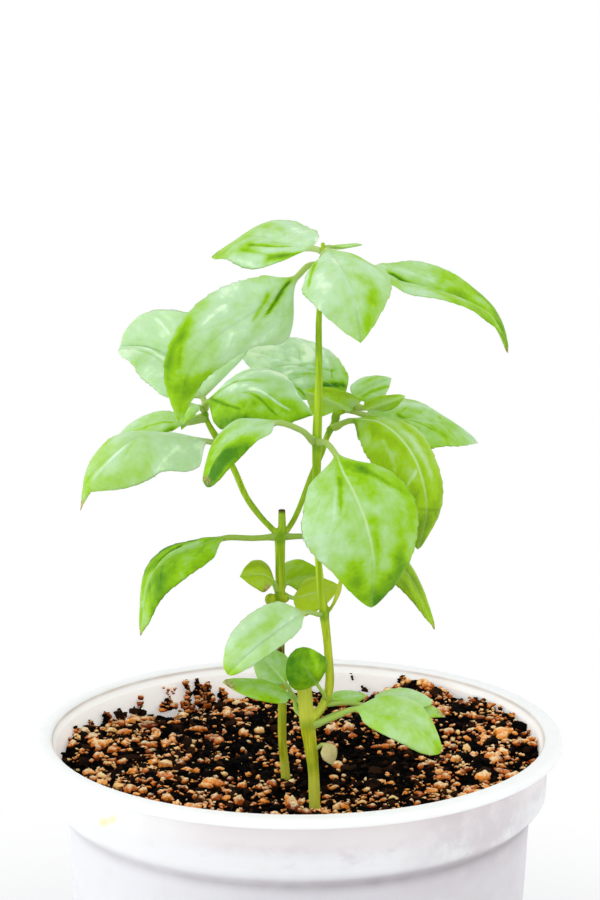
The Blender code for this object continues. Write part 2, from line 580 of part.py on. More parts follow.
def main():
    for old in list(bpy.data.objects):
        bpy.data.objects.remove(old, do_unlink=True)
    white = material("white_plastic", WHITE, 0.45)
    peat = material("peat", PEAT, 0.95)
    build_pot(white)
    build_soil(peat)
    build_stems(material("stem_green", STEM_GREEN, 0.5))
    build_leaves(material("leaf_green", LEAF_GREEN, 0.5), material("leaf_pale", LEAF_PALE, 0.5),
                 material("leaf_dry", LEAF_DRY, 0.8))


main()
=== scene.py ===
"""Looks of a young potted basil: leaves, stems, peat and pot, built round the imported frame.

Places and sizes are in millimetres, with the origin at the middle of the pot's flat bottom,
X to the right and Y away from the viewer. new_object turns them into metres.
"""

import math
import random

import bmesh
import bpy
import numpy as np
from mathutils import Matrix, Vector


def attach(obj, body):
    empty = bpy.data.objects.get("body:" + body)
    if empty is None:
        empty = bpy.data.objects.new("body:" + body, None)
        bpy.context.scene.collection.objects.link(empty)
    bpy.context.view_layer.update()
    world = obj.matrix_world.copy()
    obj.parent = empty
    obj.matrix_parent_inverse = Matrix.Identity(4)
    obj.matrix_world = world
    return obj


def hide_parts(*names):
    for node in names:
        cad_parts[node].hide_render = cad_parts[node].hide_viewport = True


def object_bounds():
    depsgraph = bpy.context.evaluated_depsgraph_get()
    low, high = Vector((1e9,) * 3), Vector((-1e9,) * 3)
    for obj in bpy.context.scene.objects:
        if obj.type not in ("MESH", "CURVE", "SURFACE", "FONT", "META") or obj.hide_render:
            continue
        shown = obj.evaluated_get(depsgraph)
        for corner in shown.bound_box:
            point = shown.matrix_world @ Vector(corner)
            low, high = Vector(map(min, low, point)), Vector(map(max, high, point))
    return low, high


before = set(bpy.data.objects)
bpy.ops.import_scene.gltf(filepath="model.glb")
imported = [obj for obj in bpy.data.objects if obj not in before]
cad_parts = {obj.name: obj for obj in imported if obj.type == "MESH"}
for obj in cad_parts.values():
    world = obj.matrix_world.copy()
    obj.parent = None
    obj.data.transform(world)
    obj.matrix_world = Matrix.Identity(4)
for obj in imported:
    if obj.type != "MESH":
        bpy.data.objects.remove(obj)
CAD_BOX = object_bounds()

MM = 0.001

# Camera, fitted to the pot's rim in the photograph
CAMERA_PLACE = (0.5, -650.0, 338.0)
CAMERA_TILT = 79.03
CAMERA_LENS = 94.1
SENSOR_WIDTH = 36.0

# Surroundings: the floor's radius in metres, and the white that the room fades to
FLOOR_RADIUS = 1.0
FLOOR_SIDES = 96
ROOM_WHITE = (1.0, 1.0, 1.0)
ROOM_LIGHT = (0.97, 0.985, 1.0)
ROOM_STRENGTH = 0.87

# Pot
POT_HEIGHT = 130.0
LIP_RADIUS = 70.0
RIM_RADIUS = 75.7
RIM_DROP = 2.8
COLLAR_RADIUS = 71.6
COLLAR_HEIGHT = 17.0
RIM_FOOT = (126.5, 127.5)
COLLAR_STEP = 3.0
BODY_TOP_RADIUS = 67.0
FOOT_RADIUS = 60.5
WALL = 1.8
FLOOR = 2.5
POT_SIDES = 180
POT_STEP = 1.2
DRAIN_RADIUS = 4.0
DRAIN_RING = 38.0
DRAIN_COUNT = 6
DRAIN_TURN = 0.53

# Soil: its depth below the rim, and its heaps as centre, spread and height
SOIL_DEPTH = 10.0
SOIL_HEAPS = [((37, 54), 11, 7.0), ((50, 36), 16, 4.0), ((-41, 56), 13, -3.8), ((-24, 64), 12, -1.5),
              ((52, 5), 22, 2.0), ((64, 24), 9, 4.2), ((70, 4), 10, 4.5), ((56, 37), 5, 3.5),
              ((-60, 14), 14, 2.5), ((-69, -3), 9, -7.0), ((-21, -8), 7, 2.0)]
SOIL_LUMPS = 70
LUMP_SPREAD = (3.5, 7.0)
LUMP_RISE = (-0.8, 1.5)
SOIL_SIDES = 420
SOIL_RINGS = 96
GAP = 0.3
SOIL_MARGIN = 1.2

# Leaves
BLADE_THICKNESS = 0.36
STALK_RADIUS = 0.8
STALK_STEP = 0.7
BLADE_STEP = 0.5
VEINED_SHARE = 0.94
COLUMN_CROWDING = 1.35
TOOTH_SPACING = 3.3
TOOTH_DEPTH = 0.34
DRIP_WIDTH = 0.16

# Stems: the points that each runs through, and its radius at each point
FRONT_TRUNK = [(4.5, -40, 100), (4.5, -40, 120), (4, -40, 133), (2.5, -40, 144.5), (1.5, -40, 156)]
FRONT_TRUNK_RADII = [1.5, 1.5, 1.5, 2.0, 1.85]
FRONT_SHOOT = [(2.5, -40, 144), (5, -39.5, 147), (7, -39, 150), (8.5, -38, 155), (8, -38, 165),
               (7, -37, 174), (5.5, -37, 188), (5, -36, 203), (5, -35, 220), (5.5, -35, 238),
               (5.5, -34, 254), (6.5, -33, 269), (6.5, -33, 274)]
FRONT_SHOOT_RADII = [1.3, 1.3, 1.2, 1.15, 1.1, 1.25, 0.95, 0.95, 1.3, 1.0, 0.8, 0.9, 0.5]
REAR_TRUNK = [(-3.5, -15, 99), (-3.5, -15, 119), (-4.5, -15, 132), (-4.5, -15, 144), (-5, -15, 158),
              (-5, -15, 173), (-5, -15, 183), (-5, -15, 190.5), (-4.5, -15, 193), (-4.5, -15, 198.2)]
REAR_TRUNK_RADII = [1.3, 1.3, 1.15, 1.25, 1.25, 1.45, 1.2, 1.6, 1.1, 0.95]
REAR_LEFT = [(-5, -15, 190.5), (-8.2, -15, 193.7), (-11.3, -14, 197), (-14.6, -14, 202), (-17.7, -13, 209),
             (-21.5, -12, 216), (-25, -11, 222), (-26, -11, 226)]
REAR_LEFT_RADII = [0.9, 0.85, 0.85, 0.85, 0.9, 1.1, 0.75, 0.8]
REAR_RIGHT = [(-5, -15, 190.5), (-2.7, -14, 192.6), (0, -12, 197.2), (3.8, -10, 207), (6.5, -10, 213),
              (8, -11, 218), (10, -12, 222), (10.5, -12, 224.5), (13, -12, 225.5), (16, -12.5, 226.5)]
REAR_RIGHT_RADII = [0.85, 0.8, 0.8, 0.8, 0.8, 0.85, 1.0, 1.1, 0.8, 0.8]
SIDE_SHOOT = [(7, -37.2, 174), (9.2, -37, 176.5), (10.8, -37, 180.5), (11.8, -38, 185.5)]
SIDE_SHOOT_RADII = [0.7, 0.45, 0.75, 0.45]
FRONT = [(FRONT_TRUNK, FRONT_TRUNK_RADII), (FRONT_SHOOT, FRONT_SHOOT_RADII)]
REAR = [(REAR_TRUNK, REAR_TRUNK_RADII), (REAR_LEFT, REAR_LEFT_RADII), (REAR_RIGHT, REAR_RIGHT_RADII)]
STEM_VOXEL = 0.26

# Round buds on the rear plant's middle node: centre and radius
BUDS = [((-7.6, -16, 172.8), 1.75), ((-3.8, -16.4, 173.5), 1.5)]

# Swollen nodes: centre, radius, and how far the darker green reaches
FRONT_NODES = [((2.6, -40, 144.5), 2.15, 3.0), ((7.1, -37.2, 174), 1.35, 2.5),
               ((8.0, -38.6, 151), 1.3, 2.0), ((5.0, -35, 220.5), 1.5, 3.0),
               ((6.4, -33.1, 269.5), 1.1, 3.0)]
REAR_NODES = [((-5, -15, 190.3), 1.8, 3.0), ((-5, -15, 173.5), 1.6, 2.5),
              ((-21.5, -12, 216), 1.15, 2.5), ((-25.6, -11, 224), 1.0, 2.5),
              ((10.3, -12, 223.3), 1.25, 2.5), ((8.8, -11.5, 220), 1.05, 2.0)]


def ripples(x, y, size, seed, waves=9):
    """Smooth unevenness between about -1 and 1, whose bumps have roughly the given size."""
    draw = np.random.default_rng(seed)
    total = 0.0
    for _ in range(waves):
        turn, shift = draw.uniform(0.0, 2 * math.pi, 2)
        stretch = draw.uniform(0.6, 1.5)
        way = (x * math.cos(turn) + y * math.sin(turn)) * math.pi / (size * stretch)
        total = total + np.sin(way + shift)
    return total * 1.1 / math.sqrt(waves)


def ease(value, low, high):
    """0 below low, 1 above high and a smooth step between them."""
    share = np.clip((value - low) / (high - low), 0.0, 1.0)
    return share * share * (3 - 2 * share)


def unit(vectors):
    """The vectors at length 1."""
    return vectors / np.maximum(np.linalg.norm(vectors, axis=-1, keepdims=True), 1e-9)


# Materials
class Shader:
    """A material whose nodes are made by short calls; a value is a number, a colour or a socket."""

    def __init__(self, name):
        self.material = bpy.data.materials.new(name)
        self.material.use_nodes = True
        self.tree = self.material.node_tree
        self.surface = self.tree.nodes["Principled BSDF"]
        self.place = self.node("ShaderNodeTexCoord").outputs["Object"]

    def node(self, kind, **settings):
        made = self.tree.nodes.new(kind)
        for key, value in settings.items():
            setattr(made, key, value)
        return made

    def feed(self, socket, value):
        if isinstance(value, bpy.types.NodeSocket):
            self.tree.links.new(value, socket)
        elif isinstance(value, tuple) and len(value) == 3 and socket.type == 'RGBA':
            socket.default_value = (*value, 1.0)
        else:
            socket.default_value = value

    def set(self, name, value):
        self.feed(self.surface.inputs[name], value)

    def math(self, operation, a, b=0.0, clamp=False):
        made = self.node("ShaderNodeMath", operation=operation, use_clamp=clamp)
        self.feed(made.inputs[0], a)
        self.feed(made.inputs[1], b)
        return made.outputs[0]

    def mix(self, share, a, b):
        made = self.node("ShaderNodeMix", data_type='RGBA')
        self.feed(made.inputs[0], share)
        self.feed(made.inputs[6], a)
        self.feed(made.inputs[7], b)
        return made.outputs[2]

    def ramp(self, value, low, high, start=0.0, end=1.0):
        made = self.node("ShaderNodeMapRange", interpolation_type='SMOOTHSTEP')
        for key, number in zip(range(5), (value, low, high, start, end)):
            self.feed(made.inputs[key], number)
        return made.outputs[0]

    def attribute(self, name):
        return self.node("ShaderNodeAttribute", attribute_name=name).outputs["Fac"]

    def vector(self, x, y, z):
        made = self.node("ShaderNodeCombineXYZ")
        for key, value in enumerate((x, y, z)):
            self.feed(made.inputs[key], value)
        return made.outputs[0]

    def scaled(self, coords, scale):
        made = self.node("ShaderNodeMapping")
        self.feed(made.inputs["Vector"], coords)
        made.inputs["Scale"].default_value = scale
        return made.outputs[0]

    def noise(self, size, coords=None, detail=3.0, roughness=0.55):
        """Noise whose blotches have about the given size, in the units of the coordinates."""
        made = self.node("ShaderNodeTexNoise")
        self.feed(made.inputs["Vector"], coords or self.place)
        made.inputs["Scale"].default_value = 1.0 / size
        made.inputs["Detail"].default_value = detail
        made.inputs["Roughness"].default_value = roughness
        return made.outputs["Fac"]

    def cell_edges(self, size, coords):
        """Distance to the nearest edge between cells of about the given size."""
        made = self.node("ShaderNodeTexVoronoi", feature='DISTANCE_TO_EDGE')
        self.feed(made.inputs["Vector"], coords)
        made.inputs["Scale"].default_value = 1.0 / size
        return made.outputs["Distance"]

    def bump(self, height, depth, before=None):
        """Relief of the given depth in metres where height goes from 0 to 1."""
        made = self.node("ShaderNodeBump")
        made.inputs["Strength"].default_value = 1.0
        made.inputs["Distance"].default_value = depth
        self.feed(made.inputs["Height"], height)
        if before:
            self.feed(made.inputs["Normal"], before)
        return made.outputs[0]

    def glow_through(self, weight, radii):
        """Light scatters inside the material as far as the radii, in millimetres."""
        self.set("Subsurface Weight", weight)
        self.surface.inputs["Subsurface Radius"].default_value = radii
        self.set("Subsurface Scale", MM)


def leaf_material(name, deep, fresh, mint, under, vein, gloss=0.42):
    """A satin leaf whose green goes from deep painted shade to its fresh green to mint painted sheen, with
    pale veins and a duller underside.
    """
    s = Shader(name)
    across, along = s.attribute("across"), s.attribute("along")
    phase, spacing = s.attribute("phase"), s.attribute("spacing")
    relief, tone, olive = s.attribute("relief"), s.attribute("tone"), s.attribute("olive")
    on_top, edge = s.attribute("on_top"), s.attribute("edge")
    flat = s.vector(across, along, 0.0)

    quilt = s.attribute("quilt")
    # Painted shade in the quilting's hollows and painted sheen on its puffs
    groove = s.math('MULTIPLY', s.ramp(relief, -0.62, -0.25, -1.0, 0.0), quilt)
    puff = s.math('MULTIPLY', s.ramp(relief, -0.15, 0.45, 0.0, 0.45), quilt)
    tone = s.math('ADD', tone, s.ramp(s.noise(5.0, flat, detail=2.0), 0.30, 0.70, -0.22, 0.22))
    tone = s.math('ADD', tone, s.ramp(s.noise(1.3, flat, detail=3.0), 0.30, 0.70, -0.07, 0.07))
    tone = s.math('ADD', tone, s.math('ADD', groove, puff))
    # Tone below 0 mixes in deep painted shade, above 0 mint painted sheen
    to_fresh = s.math('ADD', tone, 1.0, clamp=True)
    to_mint = s.math('ADD', tone, 0.0, clamp=True)
    body = s.mix(to_mint, s.mix(to_fresh, deep, fresh), mint)
    # Tone above 1 adds a paler painted highlight
    body = s.mix(s.ramp(tone, 1.05, 1.60, 0.0, 0.85), body, (0.82, 0.98, 0.72))
    body = s.mix(olive, body, OLIVE)

    net = s.cell_edges(1.15, flat)
    net_line = s.ramp(net, 0.0, 0.09, 1.0, 0.0)
    fine = s.cell_edges(0.42, flat)
    rib = s.ramp(s.math('ABSOLUTE', across), 0.15, 0.62, 1.0, 0.0)
    body = s.mix(s.math('MULTIPLY', net_line, 0.03), body, vein)
    body = s.mix(s.math('MULTIPLY', rib, s.attribute("rib")), body, vein)
    body = s.mix(s.ramp(edge, 0.97, 1.0, 0.0, 0.28), body, (0.15, 0.28, 0.02))

    off_lateral = s.math('MULTIPLY', s.math('PINGPONG', phase, 0.5), spacing)
    lateral = s.ramp(off_lateral, 0.08, 0.32, 1.0, 0.0)
    lateral = s.math('MULTIPLY', lateral, s.ramp(edge, 0.45, 0.98, 0.10, 0.02))
    # The underside takes the same painted shade and sheen
    below = s.mix(to_mint, s.mix(to_fresh, tuple(0.45 * c for c in under), under), mint)
    below = s.mix(olive, below, OLIVE)
    below = s.mix(s.math('MULTIPLY', net_line, 0.06), below, vein)
    below = s.mix(lateral, below, vein)
    below = s.mix(s.math('MULTIPLY', rib, 0.35), below, vein)
    body = s.mix(on_top, below, body)
    body = s.mix(s.math('MULTIPLY', s.attribute("stalk"), 0.85), body, (0.36, 0.50, 0.09))
    scorch = s.mix(s.ramp(s.noise(0.9, flat), 0.4, 0.6), (0.24, 0.12, 0.035), (0.60, 0.46, 0.22))
    s.set("Base Color", s.mix(s.attribute("dry"), body, scorch))

    s.set("Roughness", s.ramp(s.noise(1.6, flat), 0.3, 0.7, gloss - 0.05, gloss + 0.10))
    s.set("Specular IOR Level", 0.10)
    s.set("IOR", 1.45)
    s.glow_through(0.50, (0.28, 0.42, 0.06))
    height = s.math('MULTIPLY', s.ramp(net, 0.0, 0.30), 0.7)
    height = s.math('ADD', height, s.math('MULTIPLY', s.ramp(fine, 0.0, 0.3), 0.3))
    s.set("Normal", s.bump(height, 0.045 * MM))
    return s.material


def stem_material():
    """Smooth green stem, yellower towards the soil, with fine ridges, darker nodes and brown cuts."""
    s = Shader("stem_satin_green")
    knot, cut, pale = s.attribute("knot"), s.attribute("cut"), s.attribute("pale")
    stripes = s.noise(0.9, s.scaled(s.place, (1000.0, 1000.0, 60.0)), detail=2.0)
    patches = s.noise(9 * MM, detail=2.0)
    split = s.node("ShaderNodeSeparateXYZ")
    s.feed(split.inputs[0], s.place)
    up = s.ramp(split.outputs[2], 0.135, 0.200)
    body = s.mix(up, (0.35, 0.38, 0.008), (0.26, 0.44, 0.008))
    ridge = s.mix(up, (0.56, 0.57, 0.03), (0.43, 0.61, 0.03))
    body = s.mix(s.ramp(stripes, 0.35, 0.68), body, ridge)
    body = s.mix(s.ramp(patches, 0.40, 0.70, 0.0, 0.45), body, (0.20, 0.34, 0.015))
    body = s.mix(s.math('MULTIPLY', pale, 0.70), body, (0.56, 0.62, 0.075))
    body = s.mix(s.math('MULTIPLY', knot, 0.60), body, (0.12, 0.30, 0.015))
    speck = s.ramp(s.noise(0.7 * MM, detail=3.0), 0.66, 0.72)
    body = s.mix(s.math('MULTIPLY', speck, 0.25), body, (0.20, 0.17, 0.05))
    bark = s.math('MULTIPLY', s.attribute("bark"), s.ramp(stripes, 0.40, 0.56))
    body = s.mix(bark, body, (0.10, 0.055, 0.02))
    body = s.mix(cut, body, (0.07, 0.030, 0.010))
    s.set("Base Color", body)
    s.set("Roughness", s.ramp(stripes, 0.3, 0.7, 0.34, 0.48))
    s.set("Specular IOR Level", 0.12)
    s.set("IOR", 1.45)
    s.glow_through(0.35, (0.6, 0.8, 0.10))
    s.set("Normal", s.bump(stripes, 0.12 * MM))
    return s.material


def peat_material():
    """Nearly black damp peat with brown fibres in it."""
    s = Shader("peat_damp_dark")
    clods = s.noise(2.2 * MM, detail=6.0, roughness=0.7)
    crumbs = s.noise(0.5 * MM, detail=4.0, roughness=0.7)
    body = s.mix(s.ramp(clods, 0.50, 0.75), (0.0025, 0.0022, 0.0024), (0.016, 0.008, 0.005))
    body = s.mix(s.ramp(crumbs, 0.62, 0.76, 0.0, 0.7), body, (0.18, 0.050, 0.012))
    s.set("Base Color", body)
    s.set("Roughness", s.ramp(crumbs, 0.3, 0.7, 0.80, 1.0))
    s.set("Specular IOR Level", 0.02)
    s.set("Normal", s.bump(crumbs, 0.5 * MM))
    return s.material


def crumb_material():
    """Loose dark crumbs: near-black to brown from one to the next."""
    s = Shader("peat_crumb_brown")
    tint = s.attribute("tint")
    grain = s.noise(0.45 * MM, detail=4.0, roughness=0.7)
    body = s.mix(s.ramp(tint, 0.45, 1.0), (0.0025, 0.0022, 0.0022), (0.036, 0.014, 0.006))
    body = s.mix(s.ramp(grain, 0.62, 0.78, 0.0, 0.5), body, (0.13, 0.05, 0.02))
    s.set("Base Color", body)
    s.set("Roughness", s.ramp(grain, 0.3, 0.7, 0.75, 1.0))
    s.set("Specular IOR Level", 0.03)
    s.set("Normal", s.bump(grain, 0.35 * MM))
    return s.material


def grain_material():
    """Bark and clay grains: peach, golden, orange or red-brown, with a painted highlight on top and painted
    shade underneath, dusted with peat in their hollows.
    """
    s = Shader("grain_golden_tan")
    tint = s.attribute("tint")
    crown = s.attribute("crown")
    mottle = s.noise(1.1 * MM, detail=4.0, roughness=0.6)
    dust = s.noise(1.2 * MM, detail=4.0, roughness=0.75)
    body = s.mix(s.ramp(tint, 0.0, 0.35), (0.22, 0.032, 0.006), (0.66, 0.14, 0.012))
    body = s.mix(s.ramp(tint, 0.30, 0.68), body, (0.97, 0.33, 0.045))
    body = s.mix(s.ramp(tint, 0.66, 1.0), body, (1.0, 0.64, 0.24))
    # Painted highlight on each grain's top and painted shade on its underside
    light = s.math('ADD', crown, s.ramp(mottle, 0.3, 0.7, -0.25, 0.25))
    body = s.mix(s.ramp(light, 0.25, 0.95, 0.0, 0.90), body, (1.0, 0.83, 0.50))
    body = s.mix(s.ramp(light, -0.35, 0.35, 0.90, 0.0), body, (0.10, 0.014, 0.003))
    body = s.mix(s.ramp(dust, 0.60, 0.70, 0.0, 0.85), body, (0.030, 0.008, 0.003))
    s.set("Base Color", body)
    s.set("Roughness", s.ramp(mottle, 0.3, 0.7, 0.60, 0.85))
    s.set("Specular IOR Level", 0.06)
    s.set("Normal", s.bump(mottle, 0.35 * MM))
    return s.material


def stain(s, centre, reach, wobble):
    """1 inside a soft-edged patch round a place in millimetres, 0 outside it."""
    away = s.node("ShaderNodeVectorMath", operation='DISTANCE')
    s.feed(away.inputs[0], s.place)
    away.inputs[1].default_value = tuple(MM * c for c in centre)
    off = s.math('ADD', away.outputs["Value"], s.math('MULTIPLY', wobble, 1.2 * reach * MM))
    return s.ramp(off, reach * MM, 2.1 * reach * MM, 1.0, 0.0)


YELLOW_STAIN = [(-53.3, -48.1, 119.2), (-52.4, -49.1, 119.6), (-51.4, -50.2, 120.1), (-50.3, -51.3, 120.9),
                (-49.3, -52.2, 121.7)]


def plastic_tone(s, across, height, foot):
    """White plastic as the photograph's light shows it: dimmer on the body and to the right."""
    low = s.mix(s.ramp(across, -0.010, 0.020), (0.97, 0.965, 0.98), (0.94, 0.92, 0.935))
    shade = s.mix(s.ramp(height, foot + 3 * MM, foot + 8 * MM), low, (0.83, 0.78, 0.79))
    collar = s.mix(s.ramp(across, -0.048, -0.018), (0.96, 0.955, 0.96), shade)
    wall = s.mix(s.ramp(across, -0.060, 0.010), (0.88, 0.865, 0.905), (0.75, 0.715, 0.755))
    # Painted shadow on the body below the collar's right side
    cast_shadow = s.math('MULTIPLY', s.ramp(across, 0.015, 0.050),
                  s.ramp(height, foot - 14 * MM, foot - 5 * MM, 0.0, 0.85))
    wall = s.mix(cast_shadow, wall, (0.52, 0.48, 0.52))
    body = s.mix(s.ramp(height, foot - 3.5 * MM, foot - 0.5 * MM), wall, collar)
    return s.mix(s.ramp(height, *(MM * z for z in RIM_FOOT)), body, (0.98, 0.98, 0.98))


def smudges_and_shade(s, body, across, height):
    """The streaks' pattern, and the colour with a broad grey patch at the collar's right that is partly
    smudge and partly painted shade.
    """
    streak = s.noise(9 * MM, s.scaled(s.place, (1.0, 1.0, 0.8)), detail=5.0, roughness=0.6)
    on_right = s.math('MULTIPLY', s.ramp(across, 0.020, 0.045), s.ramp(across, 0.058, 0.066, 1.0, 0.0))
    on_collar = s.ramp(height, *(MM * z for z in RIM_FOOT), 1.0, 0.0)
    # Broad grey patch on the collar's right: partly smudge, partly painted shade
    smudge_and_shade = s.math('MULTIPLY', s.math('MULTIPLY', on_right, on_collar),
                    s.ramp(streak, 0.35, 0.62, 0.30, 1.0))
    return streak, s.mix(smudge_and_shade, body, (0.70, 0.655, 0.675))


def worn_band(s, across, height, foot):
    """How worn the collar is in patches along its lower part."""
    smear = s.noise(6 * MM, s.scaled(s.place, (0.8, 0.8, 1.6)), detail=4.0, roughness=0.65)
    worn = s.math('MULTIPLY', s.ramp(height, foot + 1 * MM, foot + 4 * MM),
                  s.ramp(height, foot + 6 * MM, foot + 10 * MM, 1.0, 0.0))
    worn = s.math('MULTIPLY', worn, s.ramp(across, -0.035, -0.010))
    return s.math('MULTIPLY', worn, s.ramp(smear, 0.48, 0.72, 0.0, 0.40))


def pot_material():
    """White moulded plastic, lightly dirty and smudged, with painted shade, a painted shadow line under its
    collar, a brownish band just inside its lip and a faint painted glow on its inner wall.
    """
    s = Shader("pot_white_plastic")
    split = s.node("ShaderNodeSeparateXYZ")
    s.feed(split.inputs[0], s.place)
    across, height = split.outputs[0], split.outputs[2]
    foot = (POT_HEIGHT - COLLAR_HEIGHT) * MM
    cloud = s.noise(14 * MM, detail=3.0)
    grime = s.noise(3.2 * MM, detail=6.0, roughness=0.7)
    streak, body = smudges_and_shade(s, plastic_tone(s, across, height, foot), across, height)
    body = s.mix(s.ramp(cloud, 0.50, 0.72, 0.0, 0.25), body, (0.76, 0.73, 0.74))
    body = s.mix(s.attribute("inside"), body, (0.99, 0.975, 0.965))
    inner_dust = s.math('MULTIPLY', s.attribute("inside"), s.ramp(grime, 0.56, 0.74, 0.0, 0.35))
    body = s.mix(inner_dust, body, (0.60, 0.44, 0.32))
    lip = s.math('MULTIPLY', s.attribute("lip"), s.ramp(cloud, 0.30, 0.65, 0.60, 0.95))
    body = s.mix(lip, body, (0.50, 0.41, 0.36))
    # Painted shadow line under the collar, uneven along its length
    collar_shadow = s.math('MULTIPLY', s.attribute("collar_shadow"), s.ramp(streak, 0.30, 0.70, 0.48, 0.68))
    collar_shadow = s.math('MULTIPLY', collar_shadow, s.ramp(across, -0.055, 0.050, 0.60, 1.30))
    body = s.mix(collar_shadow, body, (0.40, 0.37, 0.38))
    for centre in YELLOW_STAIN:
        body = s.mix(s.math('MULTIPLY', stain(s, centre, 1.2, grime), 0.45), body, (0.97, 0.78, 0.20))
    body = s.mix(worn_band(s, across, height, foot), body, (0.58, 0.54, 0.58))
    s.set("Base Color", body)

    # A faint glow makes the inner wall as bright as in the photograph
    s.set("Emission Color", s.mix(s.attribute("inside"), (0.0, 0.0, 0.0), (1.0, 0.955, 0.935)))
    s.set("Emission Strength", 0.22)
    s.set("Roughness", s.ramp(grime, 0.3, 0.7, 0.34, 0.48))
    s.set("IOR", 1.49)
    s.glow_through(0.75, (5.0, 4.6, 4.4))
    fine = s.noise(0.35 * MM, detail=2.0)
    s.set("Normal", s.bump(cloud, 0.08 * MM, s.bump(fine, 0.010 * MM)))
    return s.material


def floor_material():
    """Plain pale matt floor."""
    s = Shader("floor_pale")
    cloud = s.noise(0.35, detail=4.0)
    s.set("Base Color", s.mix(s.ramp(cloud, 0.3, 0.7), (0.83, 0.83, 0.84), (0.80, 0.80, 0.81)))
    s.set("Roughness", s.ramp(cloud, 0.3, 0.7, 0.75, 0.85))
    s.set("Normal", s.bump(s.noise(0.004, detail=3.0), 0.05 * MM))
    away = s.node("ShaderNodeVectorMath", operation='LENGTH')
    s.feed(away.inputs[0], s.place)
    glow = s.node("ShaderNodeEmission")
    s.feed(glow.inputs["Color"], ROOM_WHITE)
    fade = s.node("ShaderNodeMixShader")
    s.feed(fade.inputs[0], s.ramp(away.outputs["Value"], 0.10, 0.32))
    s.feed(fade.inputs[1], s.surface.outputs[0])
    s.feed(fade.inputs[2], glow.outputs[0])
    s.feed(s.tree.nodes["Material Output"].inputs["Surface"], fade.outputs[0])
    return s.material


# Building pieces
def new_object(name, points, faces, finish, values=None):
    """A smooth-shaded mesh from points in millimetres, with named values at its points."""
    mesh = bpy.data.meshes.new(name)
    mesh.from_pydata((MM * np.asarray(points, float)).tolist(), [], faces)
    mesh.materials.append(finish)
    for key, numbers in (values or {}).items():
        numbers = np.broadcast_to(np.asarray(numbers, np.float32), (len(mesh.vertices),))
        layer = mesh.attributes.new(key, 'FLOAT', 'POINT')
        layer.data.foreach_set("value", np.ascontiguousarray(numbers))
    mesh.shade_smooth()
    made = bpy.data.objects.new(name, mesh)
    bpy.context.scene.collection.objects.link(made)
    return made


def settle(made, slot, *nodes):
    """The piece rides on the plant's one body, in place of the CAD nodes that it stands for."""
    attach(made, "root")
    if nodes:
        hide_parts(*nodes)
    return made


def grid_faces(rows, columns, at):
    """Faces between neighbouring rows and columns; at gives the number of a point."""
    return [(at(i, j), at(i, j + 1), at(i + 1, j + 1), at(i + 1, j))
            for i in range(rows - 1) for j in range(columns - 1)]


# Curves
class Curve:
    """A smooth curve through points, read by the distance along it."""

    def __init__(self, points, per_span=24):
        knots = np.array(points, float)
        ends = np.vstack([2 * knots[0] - knots[1], knots, 2 * knots[-1] - knots[-2]])
        t = (np.arange(per_span) / per_span)[:, None]
        spans = [0.5 * (2 * b + (c - a) * t + (2 * a - 5 * b + 4 * c - d) * t ** 2
                        + (3 * b - a - 3 * c + d) * t ** 3)
                 for a, b, c, d in zip(ends, ends[1:], ends[2:], ends[3:])]
        self.fine = np.vstack(spans + [knots[-1:]])
        steps = np.linalg.norm(np.diff(self.fine, axis=0), axis=1)
        self.run = np.concatenate([[0.0], np.cumsum(steps)])
        self.marks = self.run[::per_span]
        self.length = self.run[-1]

    def at(self, distance):
        """Places at the distances; before its start the curve goes straight back."""
        distance = np.asarray(distance, float)
        found = np.stack([np.interp(distance, self.run, self.fine[:, k]) for k in range(3)], axis=-1)
        back = unit(self.fine[1] - self.fine[0])
        return found + np.minimum(distance, 0.0)[..., None] * back

    def ways(self, distance):
        """Directions of the curve at the distances."""
        return unit(self.at(distance + 0.3) - self.at(np.minimum(distance, self.length) - 0.3))


def carried(ways, middle, facing):
    """Upward directions along a curve, carried from the middle one so that they don't twist."""
    ups = np.zeros_like(ways)
    for order in (range(middle, len(ways)), range(middle, -1, -1)):
        up = np.array(facing, float)
        for i in order:
            up = unit(up - ways[i] * up.dot(ways[i]))
            ups[i] = up
    return ups


def clearance(point, plant):
    """Distance from a point to the nearest stem surface of the plant."""
    best = math.inf
    for points, radii in plant:
        for a, b, radius_a, radius_b in zip(points, points[1:], radii, radii[1:]):
            a, b = Vector(a), Vector(b)
            share = min(max((point - a).dot(b - a) / (b - a).length_squared, 0.0), 1.0)
            surface = radius_a + (radius_b - radius_a) * share
            best = min(best, (point - a.lerp(b, share)).length - surface)
    return best


def seat_on_stem(start, toward, plant, stalk_radius):
    """How far out of the stem's middle a stalk is clear of the stems' surface, and which way it goes."""
    start = Vector(start)
    way = (Vector(toward) - start).normalized()
    side = way.orthogonal().normalized() * stalk_radius
    other = way.cross(side)
    out = 0.5
    while min(clearance(start + way * out + side * math.cos(k) + other * math.sin(k), plant)
              for k in range(6)) < GAP:
        out += 0.05
    return out, way


# Leaves
def leaf_rows(curve, base, sunk):
    """Distances along the stalk and the blade, and each one's share of the blade, below 0 on the stalk."""
    blade = curve.length - base
    stalk = np.linspace(-sunk, base, max(4, round((base + sunk) / STALK_STEP)), endpoint=False)
    count = max(24, round(blade / BLADE_STEP))
    rows = np.concatenate([stalk, base + blade * np.linspace(0.0, 1.0, count + 1)])
    return rows, (rows - base) / blade


def blade_spread(t, belly, point, drip):
    """Half-width of the blade at each share of its length, as a share of its greatest half-width."""
    rise = belly * point / (1 - belly)
    main = np.clip(t, 0.0, 1.0) / (1 - drip)
    spread = (main / belly) ** rise * np.maximum((1 - main) / (1 - belly), 0.0) ** point
    if drip:
        spread = np.maximum(spread, DRIP_WIDTH * np.minimum(1.0, (1 - np.clip(t, 0, 1)) / drip) * (t > 0.5))
    return spread


def lateral_phase(t, s, half, blade, pairs):
    """Counts the lateral veins: it is whole where one runs, forward and outward from the rib."""
    shift = half / blade * (0.62 * np.abs(s) + 0.42 * s * s)
    return pairs * (t / VEINED_SHARE - shift) + np.where(s < 0, 0.24, 0.0)


